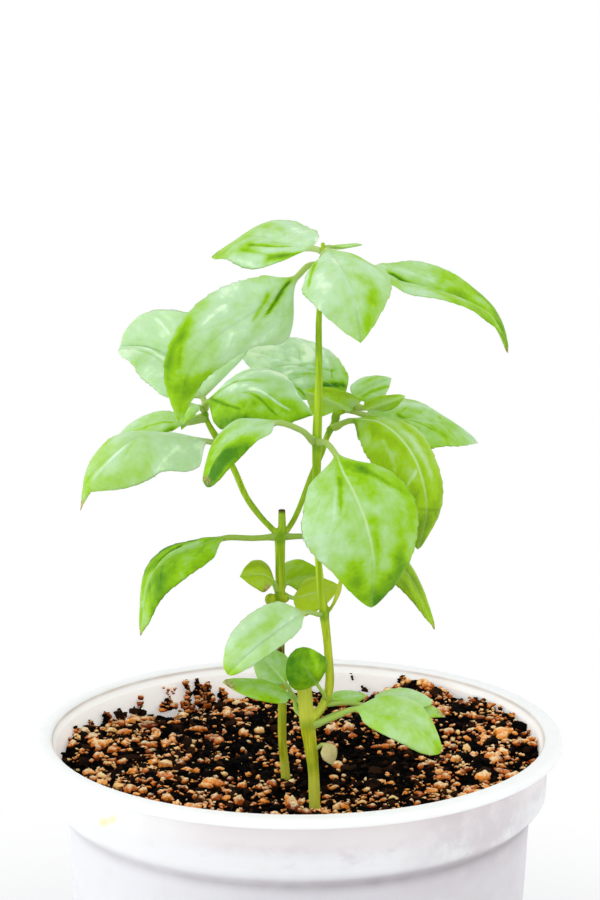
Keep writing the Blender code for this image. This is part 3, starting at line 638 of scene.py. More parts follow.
def near_line(along, across, line):
    """1 on a line on the blade, falling to 0 beside it; line is its two ends and its half-width."""
    start, end, half_width = np.array(line[:2]), np.array(line[2:4]), line[4]
    way = end - start
    length = np.linalg.norm(way)
    way = way / length
    x, y = along - start[0], across - start[1]
    share = x * way[0] + y * way[1]
    beyond = np.maximum(np.maximum(-share, share - length), 0.0)
    beside = y * way[0] - x * way[1]
    taper = 1 - 0.5 * np.clip(share / length, 0.0, 1.0)
    return np.exp(-(beside / (half_width * taper)) ** 2 - (beyond / (half_width + 0.6)) ** 2)


def blade_teeth(look, width, rows, base, s, full, seed):
    """How far the margin's teeth, which point forward, move it out or in."""
    run = (rows[:, None] - base) / TOOTH_SPACING
    run = run + 0.25 * ripples(rows[:, None], np.sign(s) * 40.0, 9.0, seed)
    teeth = look["teeth"] * TOOTH_DEPTH * min(1.0, width / 16) * ((run % 1.0) ** 1.3 - 0.45)
    return teeth * ease(full, 1.2, 4.0) * ease(np.abs(s), 0.72, 1.0)


def blade_tone_and_light(look, onto, s, run_in, offset, seed):
    """Its tone, from deep painted shade to mint painted sheen, how much its creases stand out, and how dry it
    is.
    """
    tone = np.interp(onto, *zip(*look["tone"])) + look["lean"] * s
    tone = tone + 0.16 * ripples(run_in * 0.5, offset, 4.0, seed + 4)
    folds = 0.0
    # A mark's fall in tone is painted shade along a crease, its rise painted sheen
    for line in look["marks"]:
        share = near_line(run_in, offset, line)
        tone = tone + line[5] * share
        folds = folds + line[5] * share * (line[4] < 1.0)
    dry = sum((line[5] * near_line(run_in, offset, line) for line in look["dry"]), 0.0 * s)
    return tone, np.clip(folds, -1.3, 1.0), np.clip(dry, 0, 1)


def two_sheets(count, wide_count):
    """Faces of an upper and a lower sheet of points, which share their margins, closed at both ends."""
    first_lower = count * wide_count

    def upper_at(i, j):
        return i * wide_count + j

    def lower_at(i, j):
        if j in (0, wide_count - 1):
            return upper_at(i, j)
        return first_lower + i * (wide_count - 2) + j - 1

    faces = grid_faces(count, wide_count, upper_at)
    faces += [tuple(reversed(face)) for face in grid_faces(count, wide_count, lower_at)]
    for j in range(wide_count - 1):
        for i, order in ((0, 1), (count - 1, -1)):
            ring = [upper_at(i, j), lower_at(i, j), lower_at(i, j + 1), upper_at(i, j + 1)]
            ring = list(dict.fromkeys(ring))
            faces.append(tuple(ring[::order]))
    return faces


def leaf(node, plant, stalk, rib, width, facing, finish, fold=15, curl=-45, belly=0.4, point=0.95,
         halves=(1.0, 1.0), pairs=6, stalk_radius=STALK_RADIUS, drip=0.0):
    """A leaf: a round stalk out of the stem that flattens into a quilted, toothed, veined blade.

    facing is the way the upper face looks, fold the angle at which each half rises from the
    rib, and curl how far it then bends over to its edge, both in degrees. Its row in the table
    of looks gives its greens, with their painted shade and sheen, and its creases.
    """
    look = {**PLAIN_LOOK, **LOOKS.get(node, {})}
    seed = sum(ord(letter) * (k + 1) for k, letter in enumerate(node))
    out, way = seat_on_stem(stalk[0], (stalk + rib)[1], plant, stalk_radius)
    seat = Vector(stalk[0]) + way * out
    curve = Curve([tuple(seat)] + stalk[1:] + rib)
    base = curve.marks[len(stalk)]
    blade = curve.length - base
    rows, t = leaf_rows(curve, base, 0.75 * out)
    ways = curve.ways(rows)
    ups = carried(ways, int(np.argmin(np.abs(t - 0.45))), facing)
    sides = np.cross(ways, ups)
    centres = curve.at(rows)

    # Columns from one margin to the other, closest together at the rib
    wide = width * max(halves)
    per_side = int(np.clip(round(wide), 8, 26))
    u = np.linspace(-1.0, 1.0, 2 * per_side + 1)[None, :]
    s = np.sign(u) * np.abs(u) ** COLUMN_CROWDING
    t = t[:, None]
    onto = np.clip(t, 0.0, 1.0)

    # Half-width
    flat = ease(rows[:, None] - base, -1.5, 0.10 * blade + 1.0)
    rib_half = stalk_radius * (1 - 0.85 * onto)
    sides_share = np.where(s < 0, halves[0], halves[1])
    full = 0.5 * width * blade_spread(onto, belly, point, drip) * sides_share
    full = full * (1 + abs(look["full"]) * np.exp(-((onto - 0.16) / 0.12) ** 2) * (s * look["full"] < 0))
    half = np.hypot(rib_half, full)
    offset = s * half

    # The bent section, and its relief
    open_angle = math.radians(fold)
    bend = math.radians(curl if curl else 0.01)
    reach = half * (np.sin(open_angle + bend * np.abs(s)) - math.sin(open_angle)) / bend
    lift = half * (math.cos(open_angle) - np.cos(open_angle + bend * np.abs(s))) / bend
    reach = reach + blade_teeth(look, width, rows, base, s, full, seed)
    phase = lateral_phase(t, s, half, blade, pairs)
    phase = phase + 0.10 * ripples(offset, rows[:, None], 7.0, seed + 1)
    spacing = VEINED_SHARE * blade / pairs
    away = np.abs(offset)
    inner = ease(away, 0.5, 2.6) * (1 - 0.88 * ease(np.abs(s), 0.40, 0.98))
    inner = inner * ease(t, 0.0, 0.12) * (1 - ease(t, 0.80, 1.0))
    puff = np.abs(np.sin(math.pi * phase)) ** 0.75 - 0.62
    cross = ripples(phase * spacing, offset * 1.2, 3.4, seed + 2)
    quilt = look["quilt"] * (1 - look["calm"] * ease(t, 0.40, 0.62))
    depth = quilt * min(1.0, 0.35 + spacing / 14)
    relief = inner * (puff + 0.22 * cross)
    groove = 0.34 * np.exp(-(offset / 0.62) ** 2) * flat
    swell = 0.9 * ripples(rows[:, None], offset * 0.6, 11.0, seed + 3) * s * s
    swell = swell * ease(t, 0.05, 0.3) * min(1.0, width / 22)

    # Its greens with painted shade and sheen, and the creases and pale ribs that stand out
    run_in = rows[:, None] - base
    tone, folds, dry = blade_tone_and_light(look, onto, s, run_in, offset, seed)
    height = lift + 0.7 * depth * relief - groove + swell * ease(half, 2.0, 9.0)
    height = height + CREASE_DEPTH * folds

    turn = 0.5 * math.pi * u
    x = (1 - flat) * stalk_radius * np.sin(turn) + flat * np.sign(s) * reach
    z = flat * height
    middle = centres[:, None] + sides[:, None] * x[..., None] + ups[:, None] * z[..., None]
    normal = unit(np.cross(np.gradient(middle, axis=1), np.gradient(middle, axis=0)))

    # Both faces, which share the margins
    flare = 1 + 0.45 * np.exp(-np.maximum(rows[:, None], 0.0) / 1.0)
    round_part = (1 - flat) * stalk_radius * flare * np.cos(turn)
    rim = ease((1 - np.abs(s)) * half, 0.0, 0.35)
    lateral_ridge = np.exp(-(np.abs((phase + 0.5) % 1.0 - 0.5) * spacing / 0.4) ** 2) * inner
    ridge = 1.15 * rib_half * np.exp(-(offset / (0.35 + 0.55 * rib_half)) ** 2)
    top = round_part + flat * 0.5 * BLADE_THICKNESS * rim
    bottom = round_part + flat * (0.5 * BLADE_THICKNESS * rim + ridge * rim + 0.14 * lateral_ridge)
    upper = middle + normal * top[..., None]
    lower = (middle - normal * bottom[..., None])[:, 1:-1]
    for face in (upper, lower):
        face[..., 2] = np.minimum(face[..., 2], TALLEST)
    count, wide_count = upper.shape[:2]

    def both(values):
        values = np.broadcast_to(values, (count, wide_count))
        return np.concatenate([values.ravel(), values[:, 1:-1].ravel()])

    on_top = np.concatenate([np.ones(count * wide_count), np.zeros(count * (wide_count - 2))])
    values = {"across": both(offset), "along": both(rows[:, None] - base), "phase": both(phase),
              "spacing": spacing, "relief": both(flat * relief), "edge": both(np.abs(s) * flat),
              "tone": both(np.clip(tone, -1.1, 1.5)), "olive": both(look["olive"] * ease(t, -0.1, 0.1)),
              "rib": both(look["rib"] * (1 - 0.85 * ease(t, 0.45, 0.85))),
              "quilt": both(np.minimum(1.0, quilt)), "dry": both(dry), "on_top": on_top,
              "stalk": both(1 - ease(run_in, -1.0, 0.05 * blade + 1.0))}
    points = np.vstack([upper.reshape(-1, 3), lower.reshape(-1, 3)])
    made = new_object("basil_" + node, points, two_sheets(count, wide_count), LEAF_LOOKS[finish], values)
    return settle(made, finish, node)


OLIVE = (0.48, 0.60, 0.015)
# Each finish's greens: deep painted shade, fresh green, mint painted sheen, underside and vein
LEAF_LOOKS = {
    "leaf_green": leaf_material("leaf_satin_green", (0.060, 0.225, 0.002), (0.300, 0.58, 0.006),
                                (0.510, 0.730, 0.435), (0.42, 0.71, 0.016), (0.60, 0.80, 0.40)),
    "leaf_pale": leaf_material("leaf_satin_pale", (0.090, 0.28, 0.003), (0.34, 0.62, 0.020),
                               (0.535, 0.755, 0.440), (0.44, 0.67, 0.04), (0.64, 0.83, 0.44)),
    "leaf_dry": leaf_material("leaf_dry_tan", (0.30, 0.24, 0.07), (0.56, 0.48, 0.18), (0.80, 0.75, 0.45),
                              (0.44, 0.36, 0.14), (0.78, 0.72, 0.44), gloss=0.6),
}

# The solids' box ends just above here, and no blade's relief may reach past it
TALLEST = CAD_BOX[1][2] / MM - 0.02
CREASE_DEPTH = 0.30

# How a leaf looks where its row in the table below says nothing: its green along the blade, from -1,
# deep painted shade, over 0, fresh, to 1, mint painted sheen, and above that a paler painted highlight;
# how much paler its right half is in that painted light; how far its rib stands out; quilting, teeth and
# olive; how much fuller one half's base is; how far the quilting calms down towards the tip; and lines as
# the along and across of both ends, half-width and change, where a mark's fall in tone is painted shade
# along a crease and its rise painted sheen
PLAIN_LOOK = dict(tone=[(0, 0.5), (0.5, 0.35), (1, 0.0)], lean=0.0, rib=0.35, quilt=0.35, teeth=1.0,
                  olive=0.0, full=0.0, calm=0.0, marks=[], dry=[])

LOOKS = {
    "leaf_top_back": dict(
        tone=[(0, 0.95), (0.35, 0.8), (0.7, 0.15), (1, -0.1)], rib=0.15, quilt=0.15,
        marks=[(21, -5, 9, -1.5, 0.8, -1.1), (22, -7.5, 13, -6.5, 0.9, -0.8), (11, -7.0, 2, -3.6, 1.7, -1.5),
               (25, -11, 12, -10.5, 1.2, 0.6), (4, 5, 26, 8, 2.5, 0.3), (12, 1, 22, -1.5, 0.7, 0.35)]),
    "leaf_top_front": dict(
        tone=[(0, 0.85), (0.6, 0.85), (0.85, 0.5), (1, 0.0)], lean=0.2, rib=0.15, quilt=0.12,
        marks=[(5, 5.5, 12.5, 9.5, 1.0, -1.2), (19, -6, 27, -3, 3.2, -0.6), (9, 1, 28, -0.7, 0.5, 0.3),
               (5, -5, 12, -9, 1.2, -0.4)]),
    "leaf_top_left": dict(
        tone=[(0, 0.6), (0.1, 0.65), (0.35, 1.0), (0.5, 0.95), (0.62, 0.4), (0.72, 0.05), (1, -0.1)],
        rib=0.1, quilt=0.15, full=1.0,
        marks=[(3, 0.6, 12, -1.8, 0.9, -1.9), (10, 1.6, 16, -1.1, 0.8, -0.8), (21.5, 5.8, 27, 5.3, 0.6, 0.4),
               (24, 11, 42, 5, 2.0, -0.5), (33, 6.4, 38, 3.4, 0.9, -0.4)]),
    "leaf_top_right": dict(
        tone=[(0, 0.6), (0.3, 0.55), (0.5, 0.1), (0.75, -0.15), (0.95, -0.55)], rib=0.05, quilt=0.15,
        marks=[(9, -1.8, 21.5, 2.8, 0.65, -2.0), (11, -4, 20, -2.4, 0.9, 0.4), (5, -1.5, 9, -1.8, 0.9, -0.7)],
        dry=[(50, 0, 53, 0, 1.2, 0.8)]),
    "leaf_left_back": dict(
        tone=[(0, 1.0), (1, 1.0)], rib=0.1, quilt=0.12, full=-0.35,
        marks=[(27, -1, 16, -2.3, 0.35, 0.7), (25, -3, 18, -3.3, 0.5, -0.8), (24, 8, 21, 6, 0.35, 0.6)]),
    "leaf_left_inner": dict(
        tone=[(0, 0.4), (0.3, 0.65), (1, 0.1)], lean=-0.95, rib=0.1, quilt=0.15,
        marks=[(1, -0.9, 9, -4.1, 0.7, -1.3), (9, -4.1, 15, -3.5, 0.6, -0.9),
               (1.5, 0, 12.5, 6.0, 0.8, -1.0), (14, 0.9, 25, 3.6, 0.6, -0.8),
               (15.5, -0.4, 27.4, 1.2, 0.45, 1.2), (9, -2, 15, -1.5, 1.8, 0.6), (8, 9.5, 22, 9.2, 1.6, -0.6),
               (3, -8, 20, -10.5, 0.9, -0.4)]),
    "leaf_right_far": dict(
        tone=[(0, -0.15), (0.3, 0.5), (0.5, 1.3), (1, 1.5)], rib=0.2, quilt=1.1, calm=0.85,
        marks=[(13.9, 2.7, 21.4, -3.4, 0.6, -0.9), (10.9, 0.7, 16, -5.2, 0.6, -1.0),
               (23.4, -6.5, 9, -7.5, 0.7, -1.2), (6.5, -1.6, 3.5, 2.1, 1.1, -1.6),
               (9, 4, 13, 1, 0.6, -0.9), (8, 3, 12, 6, 1.2, 0.5)]),
    "leaf_left_front": dict(
        tone=[(0, 1.15), (0.35, 1.05), (0.6, 0.45), (0.8, 0.5), (0.86, 0.3), (1, 0.1)],
        rib=0.05, quilt=0.10, teeth=0.5,
        marks=[(13, -4.2, 19.6, -9.2, 0.4, 0.5), (28.6, -0.7, 40, -1.4, 0.4, 0.7),
               (24, 0, 31, -3, 0.7, -0.3)],
        dry=[(49.5, 0, 52, 0, 1.0, 0.9)]),
    "leaf_left_upper": dict(
        tone=[(0, 0.6), (1, 0.6)], rib=0.3, marks=[(3, -3, 6, -4.6, 0.9, -1.7), (4, -1, 15, -2, 0.5, -0.8)]),
    "leaf_mid_left": dict(
        tone=[(0, 0.95), (0.45, 0.6), (0.6, 0.15), (1, -0.4)], rib=0.15, quilt=0.12, teeth=0.6,
        marks=[(12, -6.5, 24, -2.6, 3.4, -1.6), (18, -1.5, 24, 0, 0.4, 0.7)],
        dry=[(25.5, -2, 26, 1, 0.9, 0.8)]),
    "leaf_mid_front": dict(
        tone=[(0, 0.2), (0.15, 0.15), (0.4, 0.45), (0.62, 0.35), (0.8, -0.2), (1, -0.7)], lean=0.3, rib=0.85,
        quilt=0.15,
        marks=[(8.5, 1.8, 16.5, 5.0, 0.9, -0.7), (10, 3.6, 18, 7.5, 0.45, 0.5),
               (5, -2.5, 12.5, -8.2, 1.4, -0.6),
               (13, -8.3, 17, -12, 0.9, -0.35), (6, 11, 30, 13.5, 3.0, 0.35), (14, -6, 22, -9, 2.0, -0.05),
               (22, -2, 32, -1, 1.2, -0.35)]),
    "leaf_right_under": dict(tone=[(0, 0.35), (0.4, 0.12), (1, 0.2)], olive=0.10, quilt=0.15,
                             marks=[(3, -6, 14, -6, 3, -0.2)]),
    "leaf_right_pale": dict(tone=[(0, 0.1), (0.3, 0.8), (1, 0.95)], quilt=0.3,
                            marks=[(3, 1, 11, 2.2, 0.8, -0.9), (5, -2.5, 12, -1.5, 0.6, -0.5)]),
    "leaf_right_young": dict(tone=[(0, 0.2), (1, 0.0)], olive=0.20, quilt=0.15,
                             marks=[(3, 2.6, 13, 2.6, 0.9, -0.35)]),
    "leaf_right_back": dict(
        tone=[(0, 0.4), (0.3, 0.4), (0.6, 0.25), (0.82, 0.45), (0.92, 0.8), (1, 0.9)],
        quilt=0.40, lean=-0.15,
        marks=[(11, -1, 20, 4.2, 0.6, -0.8), (14, 5, 28, 6, 1.5, -0.3), (8, -5, 30, -8, 1.6, 0.5)]),
    "leaf_right_front": dict(
        tone=[(0, 0.2), (0.4, 0.0), (0.6, 0.0), (0.78, -0.5), (1, -0.7)], rib=0.95, olive=0.25,
        quilt=0.25, lean=-0.1,
        marks=[(10, -2.2, 30, -2.6, 1.5, 0.8), (29, 1.5, 32.5, 5.5, 0.4, 0.9), (38.5, 6, 41, -6, 0.45, -0.5),
               (44, 1, 49, 0, 2.5, -0.3), (0.5, 2, 5, 5, 1.7, -1.4), (17, 4.5, 29, 7, 0.4, 0.5),
               (33, 3.5, 38, 4, 1.8, -0.45)]),
    "leaf_rear_left": dict(
        tone=[(0, -0.1), (0.3, -0.15), (0.6, -0.4), (0.85, 0.0), (1, 0.3)], rib=0.35, quilt=0.3,
        marks=[(7, 1.2, 32, 0, 0.95, 0.6), (6, 4.5, 26, 6.5, 1.7, -1.3), (12, 2.4, 20, 1.0, 0.5, -1.3),
               (19, -7, 30, -6, 2, -0.4)],
        dry=[(40, 0, 41.5, 0, 0.9, 0.7)]),
    "leaf_rear_right": dict(
        tone=[(0, -0.7), (0.5, -0.65), (1, -0.3)], olive=0.30, quilt=0.25,
        marks=[(15, 5, 30, 5, 1.2, -0.5), (20, -4, 38, -2, 1.2, 0.5)], dry=[(41, 0, 42.5, 0, 0.9, 0.7)]),
    "leaf_bud_left": dict(tone=[(0, 0.1), (1, 0.2)], olive=0.6, teeth=0.6,
                          marks=[(2, 3.5, 10, 2.5, 1.6, -1.4)], dry=[(3, -4, 4, -5, 0.9, 1.0)]),
    "leaf_bud_back": dict(tone=[(0, 0.3), (1, -0.2)], olive=0.4, teeth=0.6),
    "leaf_bud_right": dict(tone=[(0, 0.0), (1, 0.2)], olive=0.75, teeth=0.6,
                           marks=[(1, -3, 6, -4, 1.0, -1.0)]),
    "leaf_low_left": dict(
        tone=[(0, 0.85), (0.4, 0.8), (0.8, 0.75), (1, 0.1)], rib=0.05, quilt=0.12, teeth=0.7,
        marks=[(4, 0.6, 20, 0.4, 0.9, 0.3), (15, -2.4, 24, -1.8, 1.2, -0.3), (10, 3.5, 22, 3.5, 0.9, -0.2)]),
    "leaf_low_round": dict(tone=[(0, -0.6), (1, -0.85)], rib=0.15, quilt=0.4, teeth=0.4,
                           marks=[(5, 2.5, 11, 3.5, 1.6, 0.6)]),
    "leaf_low_inner": dict(tone=[(0, 0.4), (1, 0.3)], rib=0.9, teeth=0.4),
    "leaf_low_ground": dict(tone=[(0, 0.1), (0.6, 0.3), (1, 0.2)], rib=0.2, teeth=0.3,
                            dry=[(18, -2, 19.3, 2, 1.6, 0.8)]),
    "leaf_low_small": dict(tone=[(0, 0.2), (1, 0.3)], teeth=0.3),
    "leaf_low_right": dict(tone=[(0, 0.3), (0.5, 0.5), (0.85, 0.25), (1, 0.0)], rib=0.15, quilt=0.12,
                           teeth=0.35),
    "leaf_low_back": dict(tone=[(0, 0.4), (1, 0.7)], teeth=0.3),
    "leaf_low_curled": dict(tone=[(0, 0.3), (1, 0.3)], teeth=0.3,
                            dry=[(3, -2.8, 13, -1.5, 0.9, 1.0), (12, 0, 13, 0, 1.2, 0.8)]),
}


def build_leaves():
    """Every leaf, by the shoot that it grows on."""
    green, pale, dry = "leaf_green", "leaf_pale", "leaf_dry"

    # Top of the front plant
    top = dict(plant=FRONT)
    leaf("leaf_top_back", stalk=[(6.5, -32.5, 271.5)],
         rib=[(4, -28, 271.8), (-3.5, -18, 272.2), (-13, -8, 273), (-24.3, 4, 266.2)],
         width=24, facing=(0, -0.57, 0.82), finish=green, fold=10, curl=-35, belly=0.46, point=1.0,
         **top)
    leaf("leaf_top_front", stalk=[(6.5, -33, 270.5)],
         rib=[(8, -40, 272.5), (11, -50, 269.5), (14.2, -57, 262), (16, -58, 251)],
         width=27, facing=(0.15, -0.9, 0.4), finish=green, fold=10, curl=-60, belly=0.44,
         halves=(1.0, 0.92), **top)
    leaf("leaf_top_left", stalk=[(6.5, -33, 268.5), (2.5, -36, 268)],
         rib=[(-0.5, -37.5, 265.2), (-8.7, -43, 258.4), (-21, -48, 250.8), (-28, -51, 242),
              (-31, -50, 229)],
         width=28, facing=(0.35, -0.9, 0.05), finish=green, fold=10, curl=-80, belly=0.42,
         halves=(0.77, 0.83), **top)
    leaf("leaf_top_right", stalk=[(6.5, -33, 268.5), (12.5, -30, 269)],
         rib=[(17.5, -28, 266.5), (26, -25, 263.1), (38, -22, 259.8), (49.5, -19, 254.7), (54.2, -18, 249.3),
              (57.4, -17, 242.3)],
         width=20, belly=0.45, facing=(0.1, -0.35, 0.93), finish=green, fold=25, curl=-30, **top)
    leaf("leaf_top_young", stalk=[(6.5, -32.5, 272.5)],
         rib=[(9, -29, 272.5), (12.5, -27, 272.5), (17, -26, 273)],
         width=5, facing=(0, 0, 1), finish=pale, stalk_radius=0.5, **top)

    # Left branch of the rear plant
    left = dict(plant=REAR)
    leaf("leaf_left_back", stalk=[(-26, -11, 225.5)],
         rib=[(-26.5, -6, 228), (-32.5, 1, 235), (-41, 6, 240), (-50.5, 9, 240.5)],
         width=30, facing=(-0.2, -0.6, 0.77), finish=pale, fold=30, curl=-30, halves=(0.77, 0.98),
         point=0.45, belly=0.37, **left)
    leaf("leaf_left_inner", stalk=[(-26, -11, 225.5)],
         rib=[(-24.5, -15, 228.5), (-19, -20, 231.5), (-11, -24, 233), (-3.5, -28, 230),
              (4, -30, 227.5)],
         width=23, facing=(0.1, -0.7, 0.7), finish=green, fold=5, curl=-40, belly=0.36, **left)
    leaf("leaf_left_front", stalk=[(-21.5, -12, 216)],
         rib=[(-25.5, -18, 218), (-33, -26, 220.5), (-42, -33, 222), (-48, -37, 219),
              (-55.5, -38, 211.5), (-58.5, -36, 202.5)],
         width=25, facing=(-0.3, -0.65, 0.7), finish=pale, fold=0, curl=-60, belly=0.44, point=0.55,
         drip=0.12, halves=(0.97, 0.78), **left)
    leaf("leaf_left_upper", stalk=[(-25.5, -11, 223), (-28.5, -13, 222.5)],
         rib=[(-31, -13, 222.2), (-37.5, -12, 222.7), (-45.5, -11, 220), (-52, -10, 215)],
         width=10, facing=(-0.1, -0.5, 0.86), finish=pale, **left)
    leaf("leaf_left_young_front", stalk=[(-26, -11, 225)],
         rib=[(-27.5, -15, 227.3), (-30, -18, 227.3), (-31.5, -20, 223)],
         width=6.5, facing=(-0.4, -0.8, 0.4), finish=pale, stalk_radius=0.5, **left)
    leaf("leaf_left_young_back", stalk=[(-26, -11, 224)],
         rib=[(-28, -10, 223.5), (-30.5, -10, 223), (-32.5, -11, 220)],
         width=4.5, facing=(-0.3, -0.5, 0.8), finish=pale, stalk_radius=0.5, **left)

    # Upper node of the front plant
    upper = dict(plant=FRONT)
    leaf("leaf_mid_left", stalk=[(5, -35, 220.5), (0.5, -39, 225)],
         rib=[(-6, -42, 227.5), (-14.4, -45, 225.8), (-20.6, -46, 220.6), (-24.7, -45, 211.4)],
         width=16.5, facing=(-0.5, -0.35, 0.8), finish=green, belly=0.5, point=0.45, **upper)
    leaf("leaf_mid_front", stalk=[(5, -35, 221), (7.5, -45, 222.5)],
         rib=[(10, -52, 220.5), (11.5, -57, 217.5), (14.5, -62, 212.5), (17.5, -66, 205.5),
              (19.5, -65, 194.5), (19, -60, 181.9)],
         width=31, facing=(0.05, -0.95, 0.3), finish=green, fold=8, curl=-50, belly=0.43, point=0.85,
         halves=(0.98, 1.14), **upper)

    # Right branch of the rear plant
    right = dict(plant=REAR)
    leaf("leaf_right_far", stalk=[(10.5, -12, 224.5)],
         rib=[(12.8, -7, 228.3), (5.8, -2, 233.3), (-3.5, 4, 237), (-17.8, 9, 239.6)],
         width=24, facing=(0.1, -0.6, 0.8), finish=green, belly=0.45, halves=(0.9, 0.98), **right)
    leaf("leaf_right_under", stalk=[(13.5, -12, 225.7)],
         rib=[(14, -15.5, 226.8), (11.5, -18, 228.5), (7, -21, 231), (1.5, -23, 233)],
         width=17, facing=(0.1, 0.62, 0.78), finish=green, **right)
    leaf("leaf_right_pale", stalk=[(16, -12.5, 226.5)],
         rib=[(16, -8.5, 228), (20, -5, 230.5), (26, -2, 233)],
         width=10, facing=(0, -0.7, 0.7), finish=pale, **right)
    leaf("leaf_right_young", stalk=[(16, -13, 226.5)],
         rib=[(18.5, -16, 227), (23, -19, 229), (29, -22, 231.5)],
         width=9, facing=(0, 0.6, 0.8), finish=green, **right)
    leaf("leaf_right_back", stalk=[(14, -12.2, 225.8)],
         rib=[(19, -7.5, 223.3), (28.5, -2, 221.5), (40.5, 4, 218.6), (51.5, 9, 212.5)],
         width=22, facing=(0.1, -0.5, 0.86), finish=green, **right)
    leaf("leaf_right_front", stalk=[(9.5, -12, 220.5), (12.5, -15, 222.5)],
         rib=[(15, -17, 223.5), (21.5, -24, 224.5), (28, -30, 220.5), (32.5, -33, 213),
              (34.5, -34, 202), (32.5, -31, 190.5)],
         width=26, facing=(0.42, -0.8, 0.3), finish=green, fold=8, curl=-70, belly=0.46, point=0.78,
         halves=(0.78, 0.88), **right)

    # Upper node of the rear plant
    fork = dict(plant=REAR)
    leaf("leaf_rear_left", stalk=[(-5, -15, 190.5), (-12.5, -17, 190.5)],
         rib=[(-20.5, -19, 191), (-28.2, -21, 188.9), (-35.6, -23, 186.2), (-41, -24, 179.6),
              (-43.9, -22, 164)],
         width=20, facing=(-0.5, -0.4, 0.75), finish=green, halves=(1.04, 0.58), **fork)
    leaf("leaf_rear_right", stalk=[(-5, -15, 190.5), (3.5, -13, 190)],
         rib=[(11, -12, 188), (20.5, -10, 186), (30.8, -8, 178), (39, -6, 161.5)],
         width=19, facing=(0.5, -0.4, 0.75), finish=green, halves=(0.8, 0.8), **fork)

    # Middle node of the rear plant
    buds = dict(plant=REAR, pairs=4, stalk_radius=0.6)
    leaf("leaf_bud_left", stalk=[(-5, -15, 174)],
         rib=[(-6.8, -16.5, 178), (-10, -18.5, 180.6), (-16, -20.5, 180.6)],
         width=11, facing=(0, -0.7, 0.7), finish=pale, **buds)
    leaf("leaf_bud_back", stalk=[(-5, -15, 174)],
         rib=[(-3.4, -11, 176.1), (-0.5, -8.5, 177), (7, -7, 178.2)],
         width=13, facing=(0, -0.7, 0.7), finish=green, **buds)
    leaf("leaf_bud_right", stalk=[(-5, -15, 174.5)],
         rib=[(-1.2, -18, 173.8), (4, -20, 175.6), (11.5, -21, 178)],
         width=14, belly=0.33, facing=(0, -0.6, 0.8), finish=pale, **buds)

    # Lower nodes of the front plant
    leaf("leaf_low_left", plant=FRONT, stalk=[(7, -37, 174)],
         rib=[(1.5, -41, 175.5), (-5.5, -46, 172), (-12.5, -50, 167.5), (-18.9, -49, 160.9)],
         width=16, facing=(0.05, -0.85, 0.5), finish=pale, halves=(0.5, 1.08), point=0.5,
         stalk_radius=0.6)
    leaf("leaf_low_round", plant=FRONT, stalk=[(7.5, -39, 151), (6.5, -42, 154)],
         rib=[(5, -43, 156.5), (2.5, -47, 161.5), (-0.5, -46, 167.1)],
         width=12.5, point=0.5, facing=(0, -0.9, 0.4), finish=green, stalk_radius=0.5, pairs=4)
    leaf("leaf_low_inner", plant=FRONT, stalk=[(2, -40, 149), (-1, -37, 151)],
         rib=[(-3.5, -34, 154), (-7, -31, 157.5), (-12, -29, 162.5)],
         width=10.5, facing=(0, -0.9, 0.4), finish=green, stalk_radius=0.6, pairs=4)
    leaf("leaf_low_ground", plant=FRONT,
         stalk=[(2.5, -40, 145), (-0.5, -38.5, 148)],
         rib=[(-2, -38, 151.5), (-10, -41, 155), (-20.3, -42.5, 157)],
         width=12, facing=(0, -0.25, 0.97), point=0.7, finish=green, stalk_radius=0.6, pairs=5)
    leaf("leaf_low_small", plant=FRONT, stalk=[(7.5, -39, 151.5)],
         rib=[(9.5, -35, 149.5), (13.5, -31, 149.5), (19, -28, 149)],
         width=8, facing=(0, -0.3, 0.95), finish=green, stalk_radius=0.6, pairs=4)
    leaf("leaf_low_right", plant=FRONT, stalk=[(3, -40.3, 143.5), (10, -42, 147)],
         rib=[(15.5, -43, 149.5), (23, -46, 149.5), (31.5, -47, 146.5), (38.5, -45, 138)],
         width=15.5, belly=0.5, point=0.7, facing=(0.1, -0.6, 0.8), finish=pale)
    leaf("leaf_low_back", plant=FRONT, stalk=[(7, -39, 149.5), (13.5, -36, 149)],
         rib=[(20.5, -33, 147.5), (30, -29, 148.5), (37, -26, 146.5)],
         width=10, point=0.6, facing=(0, -0.5, 0.86), finish=pale, stalk_radius=0.6, pairs=4)
    leaf("leaf_low_curled", plant=FRONT,
         stalk=[(3, -38.5, 143.5), (12.5, -35, 146.5), (23.5, -31, 146)],
         rib=[(29.5, -29, 144.5), (36, -26, 144), (41, -24, 141.5)],
         width=6, facing=(0, -0.6, 0.8), finish=pale, stalk_radius=0.5, pairs=3)
    leaf("leaf_dry", plant=FRONT, stalk=[(4, -40, 137)],
         rib=[(7, -41, 139), (8.5, -42, 137), (9.5, -41, 133)],
         width=5, facing=(0.4, -0.9, 0.2), finish=dry, stalk_radius=0.5, pairs=3)


# Stems
def stem_tube(points, radii, sides=18, step=0.6):
    """Points and faces of a closed, slightly four-edged tube through the points."""
    curve = Curve(points)
    places = np.linspace(0.0, curve.length, max(6, round(curve.length / step)))
    ways = curve.ways(places)
    ups = carried(ways, 0, (0.0, 1.0, 0.0) if abs(ways[0][1]) < 0.9 else (0.0, 0.0, 1.0))
    others = np.cross(ways, ups)
    radius = np.interp(places, curve.marks, radii)
    turn = 2 * math.pi * np.arange(sides) / sides
    edged = 1 + 0.055 * np.cos(4 * turn)
    uneven = 1 + 0.03 * ripples(places, 0.0 * places, 6.0, len(points))
    ring = (radius * uneven)[:, None] * edged
    verts = (curve.at(places)[:, None] + ups[:, None] * (ring * np.cos(turn))[..., None]
             + others[:, None] * (ring * np.sin(turn))[..., None]).reshape(-1, 3)
    faces = []
    for i in range(len(places) - 1):
        for j in range(sides):
            a, b = i * sides + j, i * sides + (j + 1) % sides
            faces.append((a, b, b + sides, a + sides))
    faces.append(tuple(reversed(range(sides))))
    faces.append(tuple(range(len(verts) - sides, len(verts))))
    return verts, faces


